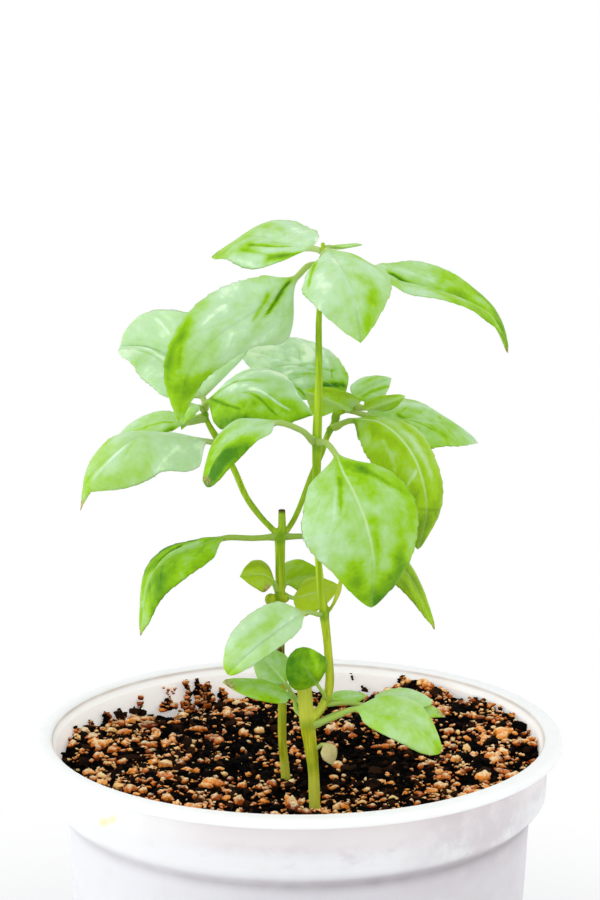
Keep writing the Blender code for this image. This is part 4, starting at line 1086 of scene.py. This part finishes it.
def ball(centre, radius):
    """Points and faces of a small round swelling."""
    shape = bmesh.new()
    bmesh.ops.create_icosphere(shape, subdivisions=3, radius=radius)
    verts = np.array([v.co + Vector(centre) for v in shape.verts])
    faces = [tuple(v.index for v in f.verts) for f in shape.faces]
    shape.free()
    return verts, faces


def merged(shapes):
    """One list of points and one of faces from several."""
    verts, faces = [], []
    start = 0
    for points, sides in shapes:
        verts.append(points)
        faces += [tuple(start + k for k in face) for face in sides]
        start += len(points)
    return np.vstack(verts), faces


def applied(made):
    """The object with its modifiers applied to its mesh."""
    shown = made.evaluated_get(bpy.context.evaluated_depsgraph_get())
    made.data = bpy.data.meshes.new_from_object(shown)
    made.modifiers.clear()
    return made


def nearness(points, spots):
    """1 at any of the spots, falling to 0 at its reach."""
    near = np.zeros(len(points))
    for centre, reach in spots:
        away = np.linalg.norm(points - np.array(centre, float), axis=1)
        near = np.maximum(near, 1 - ease(away, 0.45 * reach, reach))
    return near


def stem(node, branches, nodes, buds, cuts, pale, bark=()):
    """A plant's stem, with its branches, swollen nodes and buds grown together."""
    shapes = [stem_tube(points, radii) for points, radii in branches]
    shapes += [ball(centre, radius) for centre, radius, _ in nodes]
    shapes += [ball(centre, radius) for centre, radius in buds]
    verts, faces = merged(shapes)
    made = new_object("basil_" + node, verts, faces, STEM_LOOK)
    remesh = made.modifiers.new("grow_together", 'REMESH')
    remesh.mode = 'VOXEL'
    remesh.voxel_size = STEM_VOXEL * MM
    remesh.use_smooth_shade = True
    smooth = made.modifiers.new("soften", 'SMOOTH')
    smooth.factor = 0.5
    smooth.iterations = 5
    applied(made)
    points = np.zeros(3 * len(made.data.vertices))
    made.data.vertices.foreach_get("co", points)
    points = points.reshape(-1, 3) / MM
    values = {"knot": nearness(points, [(centre, reach) for centre, _, reach in nodes] + buds),
              "cut": nearness(points, cuts), "pale": nearness(points, pale),
              "bark": nearness(points, bark)}
    for key, numbers in values.items():
        layer = made.data.attributes.new(key, 'FLOAT', 'POINT')
        layer.data.foreach_set("value", numbers.astype(np.float32))
    return settle(made, "stem_green", node)


STEM_LOOK = stem_material()


def build_stems():
    """Both plants' stems."""
    stem("stem_front", FRONT + [(SIDE_SHOOT, SIDE_SHOOT_RADII)], FRONT_NODES, [],
         cuts=[((1.4, -40, 157.5), 1.6)],
         pale=[((2.0, -40.5, 151), 8.0), ((4.5, -40, 124), 9.0), ((11.0, -37, 181), 5.0)])
    stem("stem_rear", REAR, REAR_NODES, BUDS,
         cuts=[((-4.5, -15, 198.5), 2.0), ((-4.9, -16.9, 171), 1.3)],
         pale=[((-3.5, -15, 122), 6.0)],
         bark=[((-4.0, -16.3, 162), 3.5), ((-4.0, -16.3, 157), 3.5), ((-4.0, -16.3, 152), 3.0)])


# Soil
def soil_lumps():
    """The small lumps of the peat's surface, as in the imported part."""
    draw = random.Random(7)
    lumps = []
    for _ in range(SOIL_LUMPS):
        turn, out = draw.uniform(0, 2 * math.pi), BODY_TOP_RADIUS * math.sqrt(draw.random())
        lumps.append(((out * math.cos(turn), out * math.sin(turn)), draw.uniform(*LUMP_SPREAD),
                      draw.uniform(*LUMP_RISE)))
    return lumps


LUMPS = soil_lumps()
SOIL_TOP = POT_HEIGHT - SOIL_DEPTH


def inner_wall(z):
    """Radius of the pot's inside at height z."""
    step_top = POT_HEIGHT - COLLAR_HEIGHT
    step_bottom = step_top - COLLAR_STEP
    upper = LIP_RADIUS - 0.4 - 0.3 * (POT_HEIGHT - z) / COLLAR_HEIGHT
    lower = FOOT_RADIUS - WALL + (BODY_TOP_RADIUS - FOOT_RADIUS) * z / step_bottom
    return np.interp(z, [step_bottom - 1, step_bottom, step_top, step_top + 1],
                     [lower, lower, upper, upper]) if step_bottom < z < step_top else (
        upper if z >= step_top else lower)


def soil_height(x, y):
    """Height of the peat's surface above the pot's bottom, with its heaps and lumps but no clods."""
    height = SOIL_TOP + 0.0 * x
    for (heap_x, heap_y), spread, rise in SOIL_HEAPS + LUMPS:
        height = height + rise * np.exp(-((x - heap_x) ** 2 + (y - heap_y) ** 2) / spread ** 2)
    return height


def build_peat():
    """The peat as one solid whose top is broken into clods."""
    edge = float(inner_wall(SOIL_TOP)) - GAP
    turn = 2 * math.pi * np.arange(SOIL_SIDES) / SOIL_SIDES
    out = edge * (np.arange(1, SOIL_RINGS + 1) / SOIL_RINGS)[:, None]
    x, y = out * np.cos(turn), out * np.sin(turn)
    clods = 0.55 * ripples(x, y, 4.5, 21) + 0.40 * ripples(x, y, 2.2, 22) + 0.25 * ripples(x, y, 1.2, 23)
    z = soil_height(x, y) + clods - 0.3
    verts = [(0.0, 0.0, float(soil_height(0.0, 0.0)))]
    verts += np.stack([x, y, z], axis=-1).reshape(-1, 3).tolist()
    collar_foot = POT_HEIGHT - COLLAR_HEIGHT
    for level in (collar_foot, collar_foot - COLLAR_STEP, FLOOR + GAP):
        ring = float(inner_wall(level)) - GAP
        verts += [(ring * math.cos(a), ring * math.sin(a), level) for a in turn]
    verts.append((0.0, 0.0, FLOOR + GAP))
    rings = SOIL_RINGS + 3
    faces = []
    for j in range(SOIL_SIDES):
        k = (j + 1) % SOIL_SIDES
        faces.append((0, 1 + j, 1 + k))
        for i in range(rings - 1):
            a, b = 1 + i * SOIL_SIDES, 1 + (i + 1) * SOIL_SIDES
            faces.append((a + j, b + j, b + k, a + k))
        last = 1 + (rings - 1) * SOIL_SIDES
        faces.append((last + k, last + j, len(verts) - 1))
    made = new_object("peat_bed", verts, faces, peat_material())
    settle(made, "peat", "soil")


def rock(subdivisions):
    """Points and faces of a round stone of radius 1."""
    shape = bmesh.new()
    bmesh.ops.create_icosphere(shape, subdivisions=subdivisions, radius=1.0)
    verts = np.array([v.co[:] for v in shape.verts])
    faces = np.array([[v.index for v in f.verts] for f in shape.faces])
    shape.free()
    return verts, faces


def stones(name, places, sizes, tints, finish, slot, seed, subdivisions=1, rough=0.17, flat=0.72):
    """One piece of many irregular grains, each with its own shape, turn, size and tint."""
    draw = np.random.default_rng(seed)
    verts, faces = rock(subdivisions)
    count = len(places)
    bulge = rough * draw.normal(size=(count, len(verts), 1)).clip(-2, 2)
    if subdivisions > 2:
        bulge = rough * np.stack([ripples(verts[:, 0] * 2 + verts[:, 2], verts[:, 1] * 2, 0.8, seed + k)
                                  for k in range(count)])[..., None]
        bulge = bulge + 0.03 * draw.normal(size=bulge.shape)
    shape = verts[None] * (1 + bulge)
    stretch = np.stack([draw.uniform(0.8, 1.6, count), draw.uniform(0.6, 1.05, count),
                        draw.uniform(flat - 0.25, flat + 0.2, count)], axis=1)
    shape = shape * stretch[:, None]
    spin, tip = draw.uniform(0, 2 * math.pi, count), draw.normal(0, 0.45, count)
    c, s = np.cos(tip)[:, None], np.sin(tip)[:, None]
    y, z = shape[..., 1] * c - shape[..., 2] * s, shape[..., 1] * s + shape[..., 2] * c
    c, s = np.cos(spin)[:, None], np.sin(spin)[:, None]
    x, y = shape[..., 0] * c - y * s, shape[..., 0] * s + y * c
    shape = np.stack([x, y, z], axis=-1) * np.asarray(sizes)[:, None, None] + places[:, None]
    every = faces[None] + (np.arange(count) * len(verts))[:, None, None]
    made = new_object(name, shape.reshape(-1, 3), every.reshape(-1, 3).tolist(), finish,
                      {"tint": np.repeat(tints, len(verts)), "crown": z.ravel()})
    made.data.shade_flat()
    return settle(made, slot)


# Where the peat is bare and dark: centre, spread along X and Y, and how bare
DARK_ZONES = [((-37, 33), (9, 12), 0.93), ((-20, -8), (9, 9), 0.98), ((22, 0), (19, 24), 0.98),
              ((-9, 31), (18, 20), 0.88), ((4, -14), (11, 22), 0.85), ((47, 24), (5, 6), 0.6),
              ((-13, -40), (9, 14), 0.75)]

# Tan lumps on the soil: x, y, radius, tint
TAN_LUMPS = [(-47, -10, 1.7, 0.75), (-31.7, -10, 1.7, 0.62), (-28.9, -10.6, 1.4, 0.6),
             (-24.5, -20.3, 2.0, 0.60), (-22.1, -21.3, 1.6, 0.45), (-25.8, -22.1, 1.3, 0.7),
             (-1.7, -36, 1.9, 0.5), (0.6, -35.4, 1.4, 0.45), (-3.5, -35.6, 1.1, 0.7),
             (-14.7, 48.9, 1.5, 0.35), (-16.2, 22, 1.5, 0.5),
             (-11.5, 26, 1.4, 0.85), (-0.1, 5, 1.2, 0.6), (35.9, -8.2, 1.3, 0.30), (10, 24, 1.9, 0.35),
             (14.5, 24.5, 2.2, 0.45), (12.4, 22.8, 1.3, 0.6), (-52, 22, 1.7, 0.45), (-43, 12, 1.8, 0.4),
             (-39, 14, 1.5, 0.5), (-36, -34, 1.4, 0.6), (-33, -38, 1.5, 0.7), (49, 4, 1.7, 0.9),
             (57, -4, 1.8, 0.5), (45, -6, 1.5, 0.75), (60, 12, 1.9, 0.7), (54, 18, 1.6, 0.6),
             (40, -24, 1.4, 0.5), (52, -18, 1.8, 0.65), (47, -30, 1.6, 0.45), (44, 33, 2.0, 0.30),
             (40, 40, 1.8, 0.25), (-58, 8, 1.6, 0.5), (-60, -6, 1.8, 0.6), (-55, -22, 1.7, 0.8)]

# Clumps of soil that cling to the pot's inside: angle, lowest and highest point, half-width, count of bits
# and how dark
WALL_CLUMPS = [(114.6, 118.5, 125.6, 1.7, 80, 0.45), (117.6, 119, 127.0, 0.9, 50, 0.75),
               (116.2, 118.5, 125.0, 2.4, 70, 0.30), (120.6, 119, 127.0, 0.9, 40, 0.45),
               (121.5, 117.5, 121.0, 2.0, 30, 0.15), (110.5, 118.5, 122.0, 2.0, 24, 0.6),
               (149, 120, 124.2, 1.4, 30, 0.85), (143.3, 120, 123.4, 1.7, 26, 0.9),
               (136.8, 119.5, 122.0, 2.6, 34, 0.7), (155.9, 120, 124.2, 0.9, 16, 0.5),
               (164, 120, 124.8, 1.2, 30, 0.45), (168, 119.5, 122.6, 2.0, 28, 0.5),
               (127, 119.5, 122.2, 3.0, 30, 0.5), (61.5, 121, 128.0, 1.9, 80, 0.15),
               (58.0, 121, 126.0, 2.4, 60, 0.15), (53, 120.5, 124.8, 2.6, 50, 0.2),
               (47.5, 120.5, 124.4, 2.4, 44, 0.3), (43.2, 120, 124.4, 1.5, 26, 0.3),
               (32.5, 120, 126.6, 1.3, 34, 0.3), (27.5, 120, 127.2, 1.3, 34, 0.3),
               (22, 120, 126.8, 1.5, 34, 0.2), (15.8, 119.5, 126.2, 1.4, 30, 0.1),
               (10.5, 119.5, 125.4, 1.6, 28, 0.1), (2, 119.5, 124.5, 2.0, 28, 0.1),
               (36.8, 120, 124.0, 1.4, 20, 0.3), (88, 119.5, 121.6, 3.0, 20, 0.9),
               (98, 119.5, 122.0, 3.0, 24, 0.6)]

# Single bits on the inside: angle, height, radius and tint, where a tint below 0 is a dark crumb
WALL_BITS = [(136.0, 123.2, 1.5, 0.15), (135.4, 124.8, 0.9, 0.15), (135.2, 121.9, 0.8, 0.15),
             (120.9, 126.6, 1.1, 0.25), (109.9, 121.4, 1.3, 0.45), (110.6, 122.8, 0.7, 0.4),
             (138.2, 121.4, 1.6, -0.8), (144.2, 122.0, 1.6, -0.7), (148.5, 123.0, 1.3, 0.2),
             (158.2, 122.6, 1.5, -0.8), (126.0, 125.2, 0.6, 0.3), (126.4, 124.4, 0.5, 0.3),
             (126.1, 123.6, 0.45, 0.35), (125.7, 122.9, 0.4, 0.3), (125.6, 122.1, 0.35, 0.3),
             (125.9, 121.3, 0.35, -0.6), (125.9, 120.5, 0.35, -0.6), (75.8, 126.0, 0.5, -0.9),
             (76.1, 127.0, 0.35, -0.9), (75.6, 125.2, 0.4, -0.9), (72, 122.2, 0.9, -0.8),
             (73.0, 123.1, 0.6, -0.8), (175.8, 121, 0.6, -0.5), (127.6, 126.1, 0.5, 0.3),
             (124.2, 125.0, 0.7, 0.25), (124.6, 123.6, 0.5, 0.3), (124.9, 124.3, 0.45, 0.3),
             (38.5, 126.3, 0.5, -0.2),
             (9.0, 126.2, 0.6, 0.8), (0.7, 126.2, 0.8, 0.9), (20.8, 126.9, 0.6, 0.4), (31.9, 126.4, 0.5, 0.2),
             (47.5, 125.4, 0.6, 0.2), (104.5, 122.3, 0.9, -0.5), (93.5, 121.8, 0.8, 0.3),
             (40.2, 125.9, 0.45, 0.3)]


def grain_density(x, y):
    """Share of places that a tan grain takes, from 0 to 1: most at the right, in clusters."""
    kept = 0.80 + 0.20 * ease(x, 22.0, 42.0) - 0.10 * ease(-y, -10.0, 30.0) * ease(-x, -30.0, 0.0)
    kept = kept * np.clip(0.85 + 0.55 * ripples(x, y, 6.0, 51), 0.15, 1.0)
    for (zone_x, zone_y), (wide, deep), bare in DARK_ZONES:
        kept = kept * (1 - bare * np.exp(-((x - zone_x) / wide) ** 2 - ((y - zone_y) / deep) ** 2))
    return kept


def scattered(count, seed, edge):
    """Random places on the soil, as x and y."""
    draw = np.random.default_rng(seed)
    turn, out = draw.uniform(0, 2 * math.pi, count), edge * np.sqrt(draw.random(count))
    return out * np.cos(turn), out * np.sin(turn)


def on_wall(angle, z, radius):
    """Place of a bit of this radius that touches the pot's inside; the angle is in degrees."""
    out = inner_wall(z) - GAP - 0.8 * radius
    return out * math.cos(math.radians(angle)), out * math.sin(math.radians(angle)), z


def wall_bits():
    """The clumps and single bits on the pot's inside, as rows of x, y, z, radius and tint."""
    draw = random.Random(41)
    rows = []
    for angle, low, high, half_width, count, dark in WALL_CLUMPS:
        for _ in range(count):
            up = draw.random() ** 1.2
            aside = draw.uniform(-1, 1) * half_width * (1 - 0.65 * up)
            radius = draw.uniform(0.5, 1.45) * (1 - 0.45 * up)
            tint = -draw.random() if draw.random() < dark else draw.uniform(0.0, 0.62)
            height = low + (high - low) * up
            x, y, height = on_wall(angle + math.degrees(aside / LIP_RADIUS), height, radius)
            inward = 1 - draw.uniform(0.0, 2.2) * (1 - up) / LIP_RADIUS
            rows.append((x * inward, y * inward, height, radius, tint))
    for angle, z, radius, tint in WALL_BITS:
        rows.append((*on_wall(angle, z, radius), radius, tint))
    return np.array(rows)


def lying(x, y, sizes, raised):
    """Places of stones on the soil; raised is how far out of it they stand, as a share of their size."""
    return np.stack([x, y, soil_height(x, y) + raised * sizes + 0.1], axis=1)


def strewn(count, seed, least=0.0):
    """Random places for tan grains, fewer where the peat is bare; least is the share kept there."""
    x, y = scattered(count, seed, float(inner_wall(SOIL_TOP)) - SOIL_MARGIN)
    keep = np.random.default_rng(seed + 1).random(count) < least + (1 - least) * grain_density(x, y)
    return x[keep], y[keep]


def build_grains():
    """The tan and dark grains that lie on the peat and cling to the pot's inside."""
    draw = np.random.default_rng(11)
    tan, dark = grain_material(), crumb_material()
    bits = wall_bits()
    tan_bits, dark_bits = bits[bits[:, 4] >= 0], bits[bits[:, 4] < 0]

    x, y = strewn(2400, 12)
    sizes = np.clip(draw.lognormal(math.log(0.9), 0.34, len(x)), 0.55, 2.0)
    stones("tan_grains", lying(x, y, sizes, 0.3), sizes, draw.beta(1.5, 1.9, len(x)), tan, "peat", 13,
           subdivisions=2)

    x, y = strewn(5200, 17, least=0.06)
    sizes = draw.uniform(0.28, 0.75, len(x))
    places = lying(x, y, sizes, 0.45)
    stones("tan_chips", np.vstack([places, tan_bits[:, :3]]), np.concatenate([sizes, tan_bits[:, 3]]),
           np.concatenate([draw.uniform(0.1, 1.0, len(x)), tan_bits[:, 4]]), tan, "peat", 18, rough=0.34)

    rows = np.array(TAN_LUMPS)
    stones("tan_lumps", lying(rows[:, 0], rows[:, 1], rows[:, 2], 0.35), rows[:, 2], rows[:, 3], tan, "peat",
           16, subdivisions=4, rough=0.16, flat=0.75)

    x, y = scattered(2600, 14, float(inner_wall(SOIL_TOP)) - SOIL_MARGIN)
    sizes = np.clip(draw.lognormal(math.log(0.9), 0.40, len(x)), 0.4, 2.4)
    places = lying(x, y, sizes, 0.1)
    stones("peat_crumbs", np.vstack([places, dark_bits[:, :3]]), np.concatenate([sizes, dark_bits[:, 3]]),
           np.concatenate([draw.random(len(x)), -dark_bits[:, 4]]), dark, "peat", 15, rough=0.3)


# Pot
def rounded(corners, per_arc=7):
    """A profile whose corners, given as (radius, height, fillet), are rounded."""
    flat = [np.array(c[:2], float) for c in corners]
    made = [flat[0]]
    for before, here, after, corner in zip(flat, flat[1:], flat[2:], corners[1:]):
        fillet = corner[2]
        if not fillet:
            made.append(here)
            continue
        to, on = unit(before - here), unit(after - here)
        half = 0.5 * math.acos(float(np.clip(to.dot(on), -1, 1)))
        back = min(fillet / math.tan(half), 0.48 * np.linalg.norm(before - here),
                   0.48 * np.linalg.norm(after - here))
        radius = back * math.tan(half)
        centre = here + unit(to + on) * radius / math.sin(half)
        start, end = here + to * back - centre, here + on * back - centre
        sweep = math.atan2(start[0] * end[1] - start[1] * end[0], start.dot(end))
        for k in range(per_arc + 1):
            c, s = math.cos(sweep * k / per_arc), math.sin(sweep * k / per_arc)
            made.append(centre + np.array([start[0] * c - start[1] * s, start[0] * s + start[1] * c]))
    made.append(flat[-1])
    return made


def pot_profile():
    """Radius and height all along the pot's half section, from its underside round to its inside."""
    top = POT_HEIGHT
    foot = top - COLLAR_HEIGHT
    corners = [(0, 0, 0), (FOOT_RADIUS, 0, 1.5), (BODY_TOP_RADIUS - 0.1, foot - 4.6, 1.8),
               (COLLAR_RADIUS - 0.2, foot + 0.1, 3.2), (COLLAR_RADIUS + 0.3, top - RIM_DROP - 0.3, 0.5),
               (RIM_RADIUS, top - RIM_DROP, 0.9), (RIM_RADIUS, top - 0.3, 2.0),
               (LIP_RADIUS + 0.9, top, 1.2), (LIP_RADIUS - 0.45, top - 3.0, 0.8),
               (float(inner_wall(foot + 0.01)), foot, 1.0),
               (float(inner_wall(foot - COLLAR_STEP - 0.01)), foot - COLLAR_STEP, 1.0),
               (float(inner_wall(FLOOR)), FLOOR, 2.0), (0, FLOOR, 0)]
    profile = rounded(corners)
    fine = [profile[0]]
    for a, b in zip(profile, profile[1:]):
        pieces = max(1, math.ceil(np.linalg.norm(b - a) / POT_STEP))
        fine += [a + (b - a) * k / pieces for k in range(1, pieces + 1)]
    return np.array(fine)


def drain_cutter(finish):
    """One piece of all the round plugs that the drain holes take out."""
    cutters = []
    for k in range(DRAIN_COUNT):
        angle = 2 * math.pi * (k + DRAIN_TURN) / DRAIN_COUNT
        shape = bmesh.new()
        bmesh.ops.create_cone(shape, cap_ends=True, segments=40, radius1=DRAIN_RADIUS,
                              radius2=DRAIN_RADIUS, depth=FLOOR + 4)
        points = np.array([v.co[:] for v in shape.verts])
        points += (DRAIN_RING * math.cos(angle), DRAIN_RING * math.sin(angle), FLOOR / 2)
        cutters.append((points, [tuple(v.index for v in f.verts) for f in shape.faces]))
        shape.free()
    return new_object("drain_cutter", *merged(cutters), finish)


def build_pot():
    """The white pot with its rolled rim, collar, tapering body and drain holes."""
    top = POT_HEIGHT
    foot = top - COLLAR_HEIGHT
    rings = pot_profile()[1:-1]
    turn = 2 * math.pi * np.arange(POT_SIDES) / POT_SIDES
    sag = 0.10 * ripples(rings[:, 1][:, None], 30 * np.sin(turn) + 30 * np.cos(turn), 26.0, 31)
    near_rim = ease(rings[:, 1], top - 5.0, top - RIM_DROP)[:, None]
    radius = rings[:, 0][:, None] + (sag - 0.1) * (1 - near_rim) * (rings[:, 0][:, None] > 62)
    verts = [(0.0, 0.0, 0.0), (0.0, 0.0, FLOOR)]
    verts += np.stack([radius * np.cos(turn), radius * np.sin(turn),
                       np.broadcast_to(rings[:, 1][:, None], radius.shape)], axis=-1).reshape(-1, 3).tolist()
    faces = []
    for j in range(POT_SIDES):
        k = (j + 1) % POT_SIDES
        faces.append((0, 2 + k, 2 + j))
        last = 2 + (len(rings) - 1) * POT_SIDES
        faces.append((1, last + j, last + k))
        for i in range(len(rings) - 1):
            a, b = 2 + i * POT_SIDES, 2 + (i + 1) * POT_SIDES
            faces.append((a + j, a + k, b + k, b + j))
    turned_in = np.arange(len(rings)) > int(np.argmax(rings[:, 1]))
    inside = np.where(turned_in, ease(top - rings[:, 1], 1.2, 2.2), 0.0)
    below = top - rings[:, 1]
    lip = np.where(turned_in, ease(below, 0.3, 1.0) * (1 - ease(below, 1.1, 1.9)), 0.0)
    under = foot - rings[:, 1]
    # Where a painted shadow line lies under the collar
    collar_shadow = np.where(turned_in, 0.0, ease(under, 0.5, 3.6) * (1 - ease(under, 4.4, 7.5)))
    values = {key: np.concatenate([[0.0, 0.0], np.repeat(numbers, POT_SIDES)])
              for key, numbers in (("inside", inside), ("lip", lip), ("collar_shadow", collar_shadow))}
    finish = pot_material()
    made = new_object("nursery_pot", verts, faces, finish, values)
    cutter = drain_cutter(finish)
    holes = made.modifiers.new("drain_holes", 'BOOLEAN')
    holes.operation = 'DIFFERENCE'
    holes.solver = 'EXACT'
    holes.object = cutter
    applied(made)
    bpy.data.objects.remove(cutter)
    made.data.set_sharp_from_angle(angle=math.radians(50))
    settle(made, "white_plastic", "pot")


# Surroundings
def area_light(name, place, aim, size, power):
    """A square soft light, placed and aimed in millimetres."""
    data = bpy.data.lights.new(name, 'AREA')
    data.shape = 'SQUARE'
    data.size = size * MM
    data.energy = power
    made = bpy.data.objects.new(name, data)
    made.location = Vector(place) * MM
    made.rotation_euler = (Vector(aim) - Vector(place)).to_track_quat('-Z', 'Y').to_euler()
    bpy.context.scene.collection.objects.link(made)
    return made


def build_surroundings():
    """Bright white studio: pale floor, white world, four large soft lights and the camera."""
    turns = [2 * math.pi * k / FLOOR_SIDES for k in range(FLOOR_SIDES)]
    mesh = bpy.data.meshes.new("floor")
    mesh.from_pydata([(FLOOR_RADIUS * math.cos(a), FLOOR_RADIUS * math.sin(a), 0) for a in turns], [],
                     [tuple(range(FLOOR_SIDES))])
    mesh.materials.append(floor_material())
    floor = bpy.data.objects.new("floor", mesh)
    bpy.context.scene.collection.objects.link(floor)

    world = bpy.data.worlds.new("white_room")
    world.use_nodes = True
    tree = world.node_tree
    light = tree.nodes["Background"]
    light.inputs["Color"].default_value = (*ROOM_LIGHT, 1.0)
    light.inputs["Strength"].default_value = ROOM_STRENGTH
    seen = tree.nodes.new("ShaderNodeBackground")
    seen.inputs["Color"].default_value = (*ROOM_WHITE, 1.0)
    seen.inputs["Strength"].default_value = 1.0
    path = tree.nodes.new("ShaderNodeLightPath")
    pick = tree.nodes.new("ShaderNodeMixShader")
    tree.links.new(path.outputs["Is Camera Ray"], pick.inputs[0])
    tree.links.new(light.outputs[0], pick.inputs[1])
    tree.links.new(seen.outputs[0], pick.inputs[2])
    tree.links.new(pick.outputs[0], tree.nodes["World Output"].inputs["Surface"])
    bpy.context.scene.world = world

    area_light("overhead", (-100, -700, 1150), (0, 20, 130), 800, 1.7)
    area_light("window", (-1200, -100, 350), (0, -20, 150), 700, 4.3)
    area_light("front", (0, -1300, 420), (0, -20, 180), 1000, 1.3)
    area_light("fill", (800, -350, 900), (-60, 10, 125), 500, 1.0)

    data = bpy.data.cameras.new("camera")
    data.lens = CAMERA_LENS
    data.sensor_width = SENSOR_WIDTH
    camera = bpy.data.objects.new("camera", data)
    camera.location = Vector(CAMERA_PLACE) * MM
    camera.rotation_euler = (math.radians(CAMERA_TILT), 0.0, 0.0)
    bpy.context.scene.collection.objects.link(camera)
    bpy.context.scene.camera = camera
    bpy.context.scene.view_settings.view_transform = 'Standard'


build_surroundings()
build_pot()
build_peat()
build_grains()
build_stems()
build_leaves()
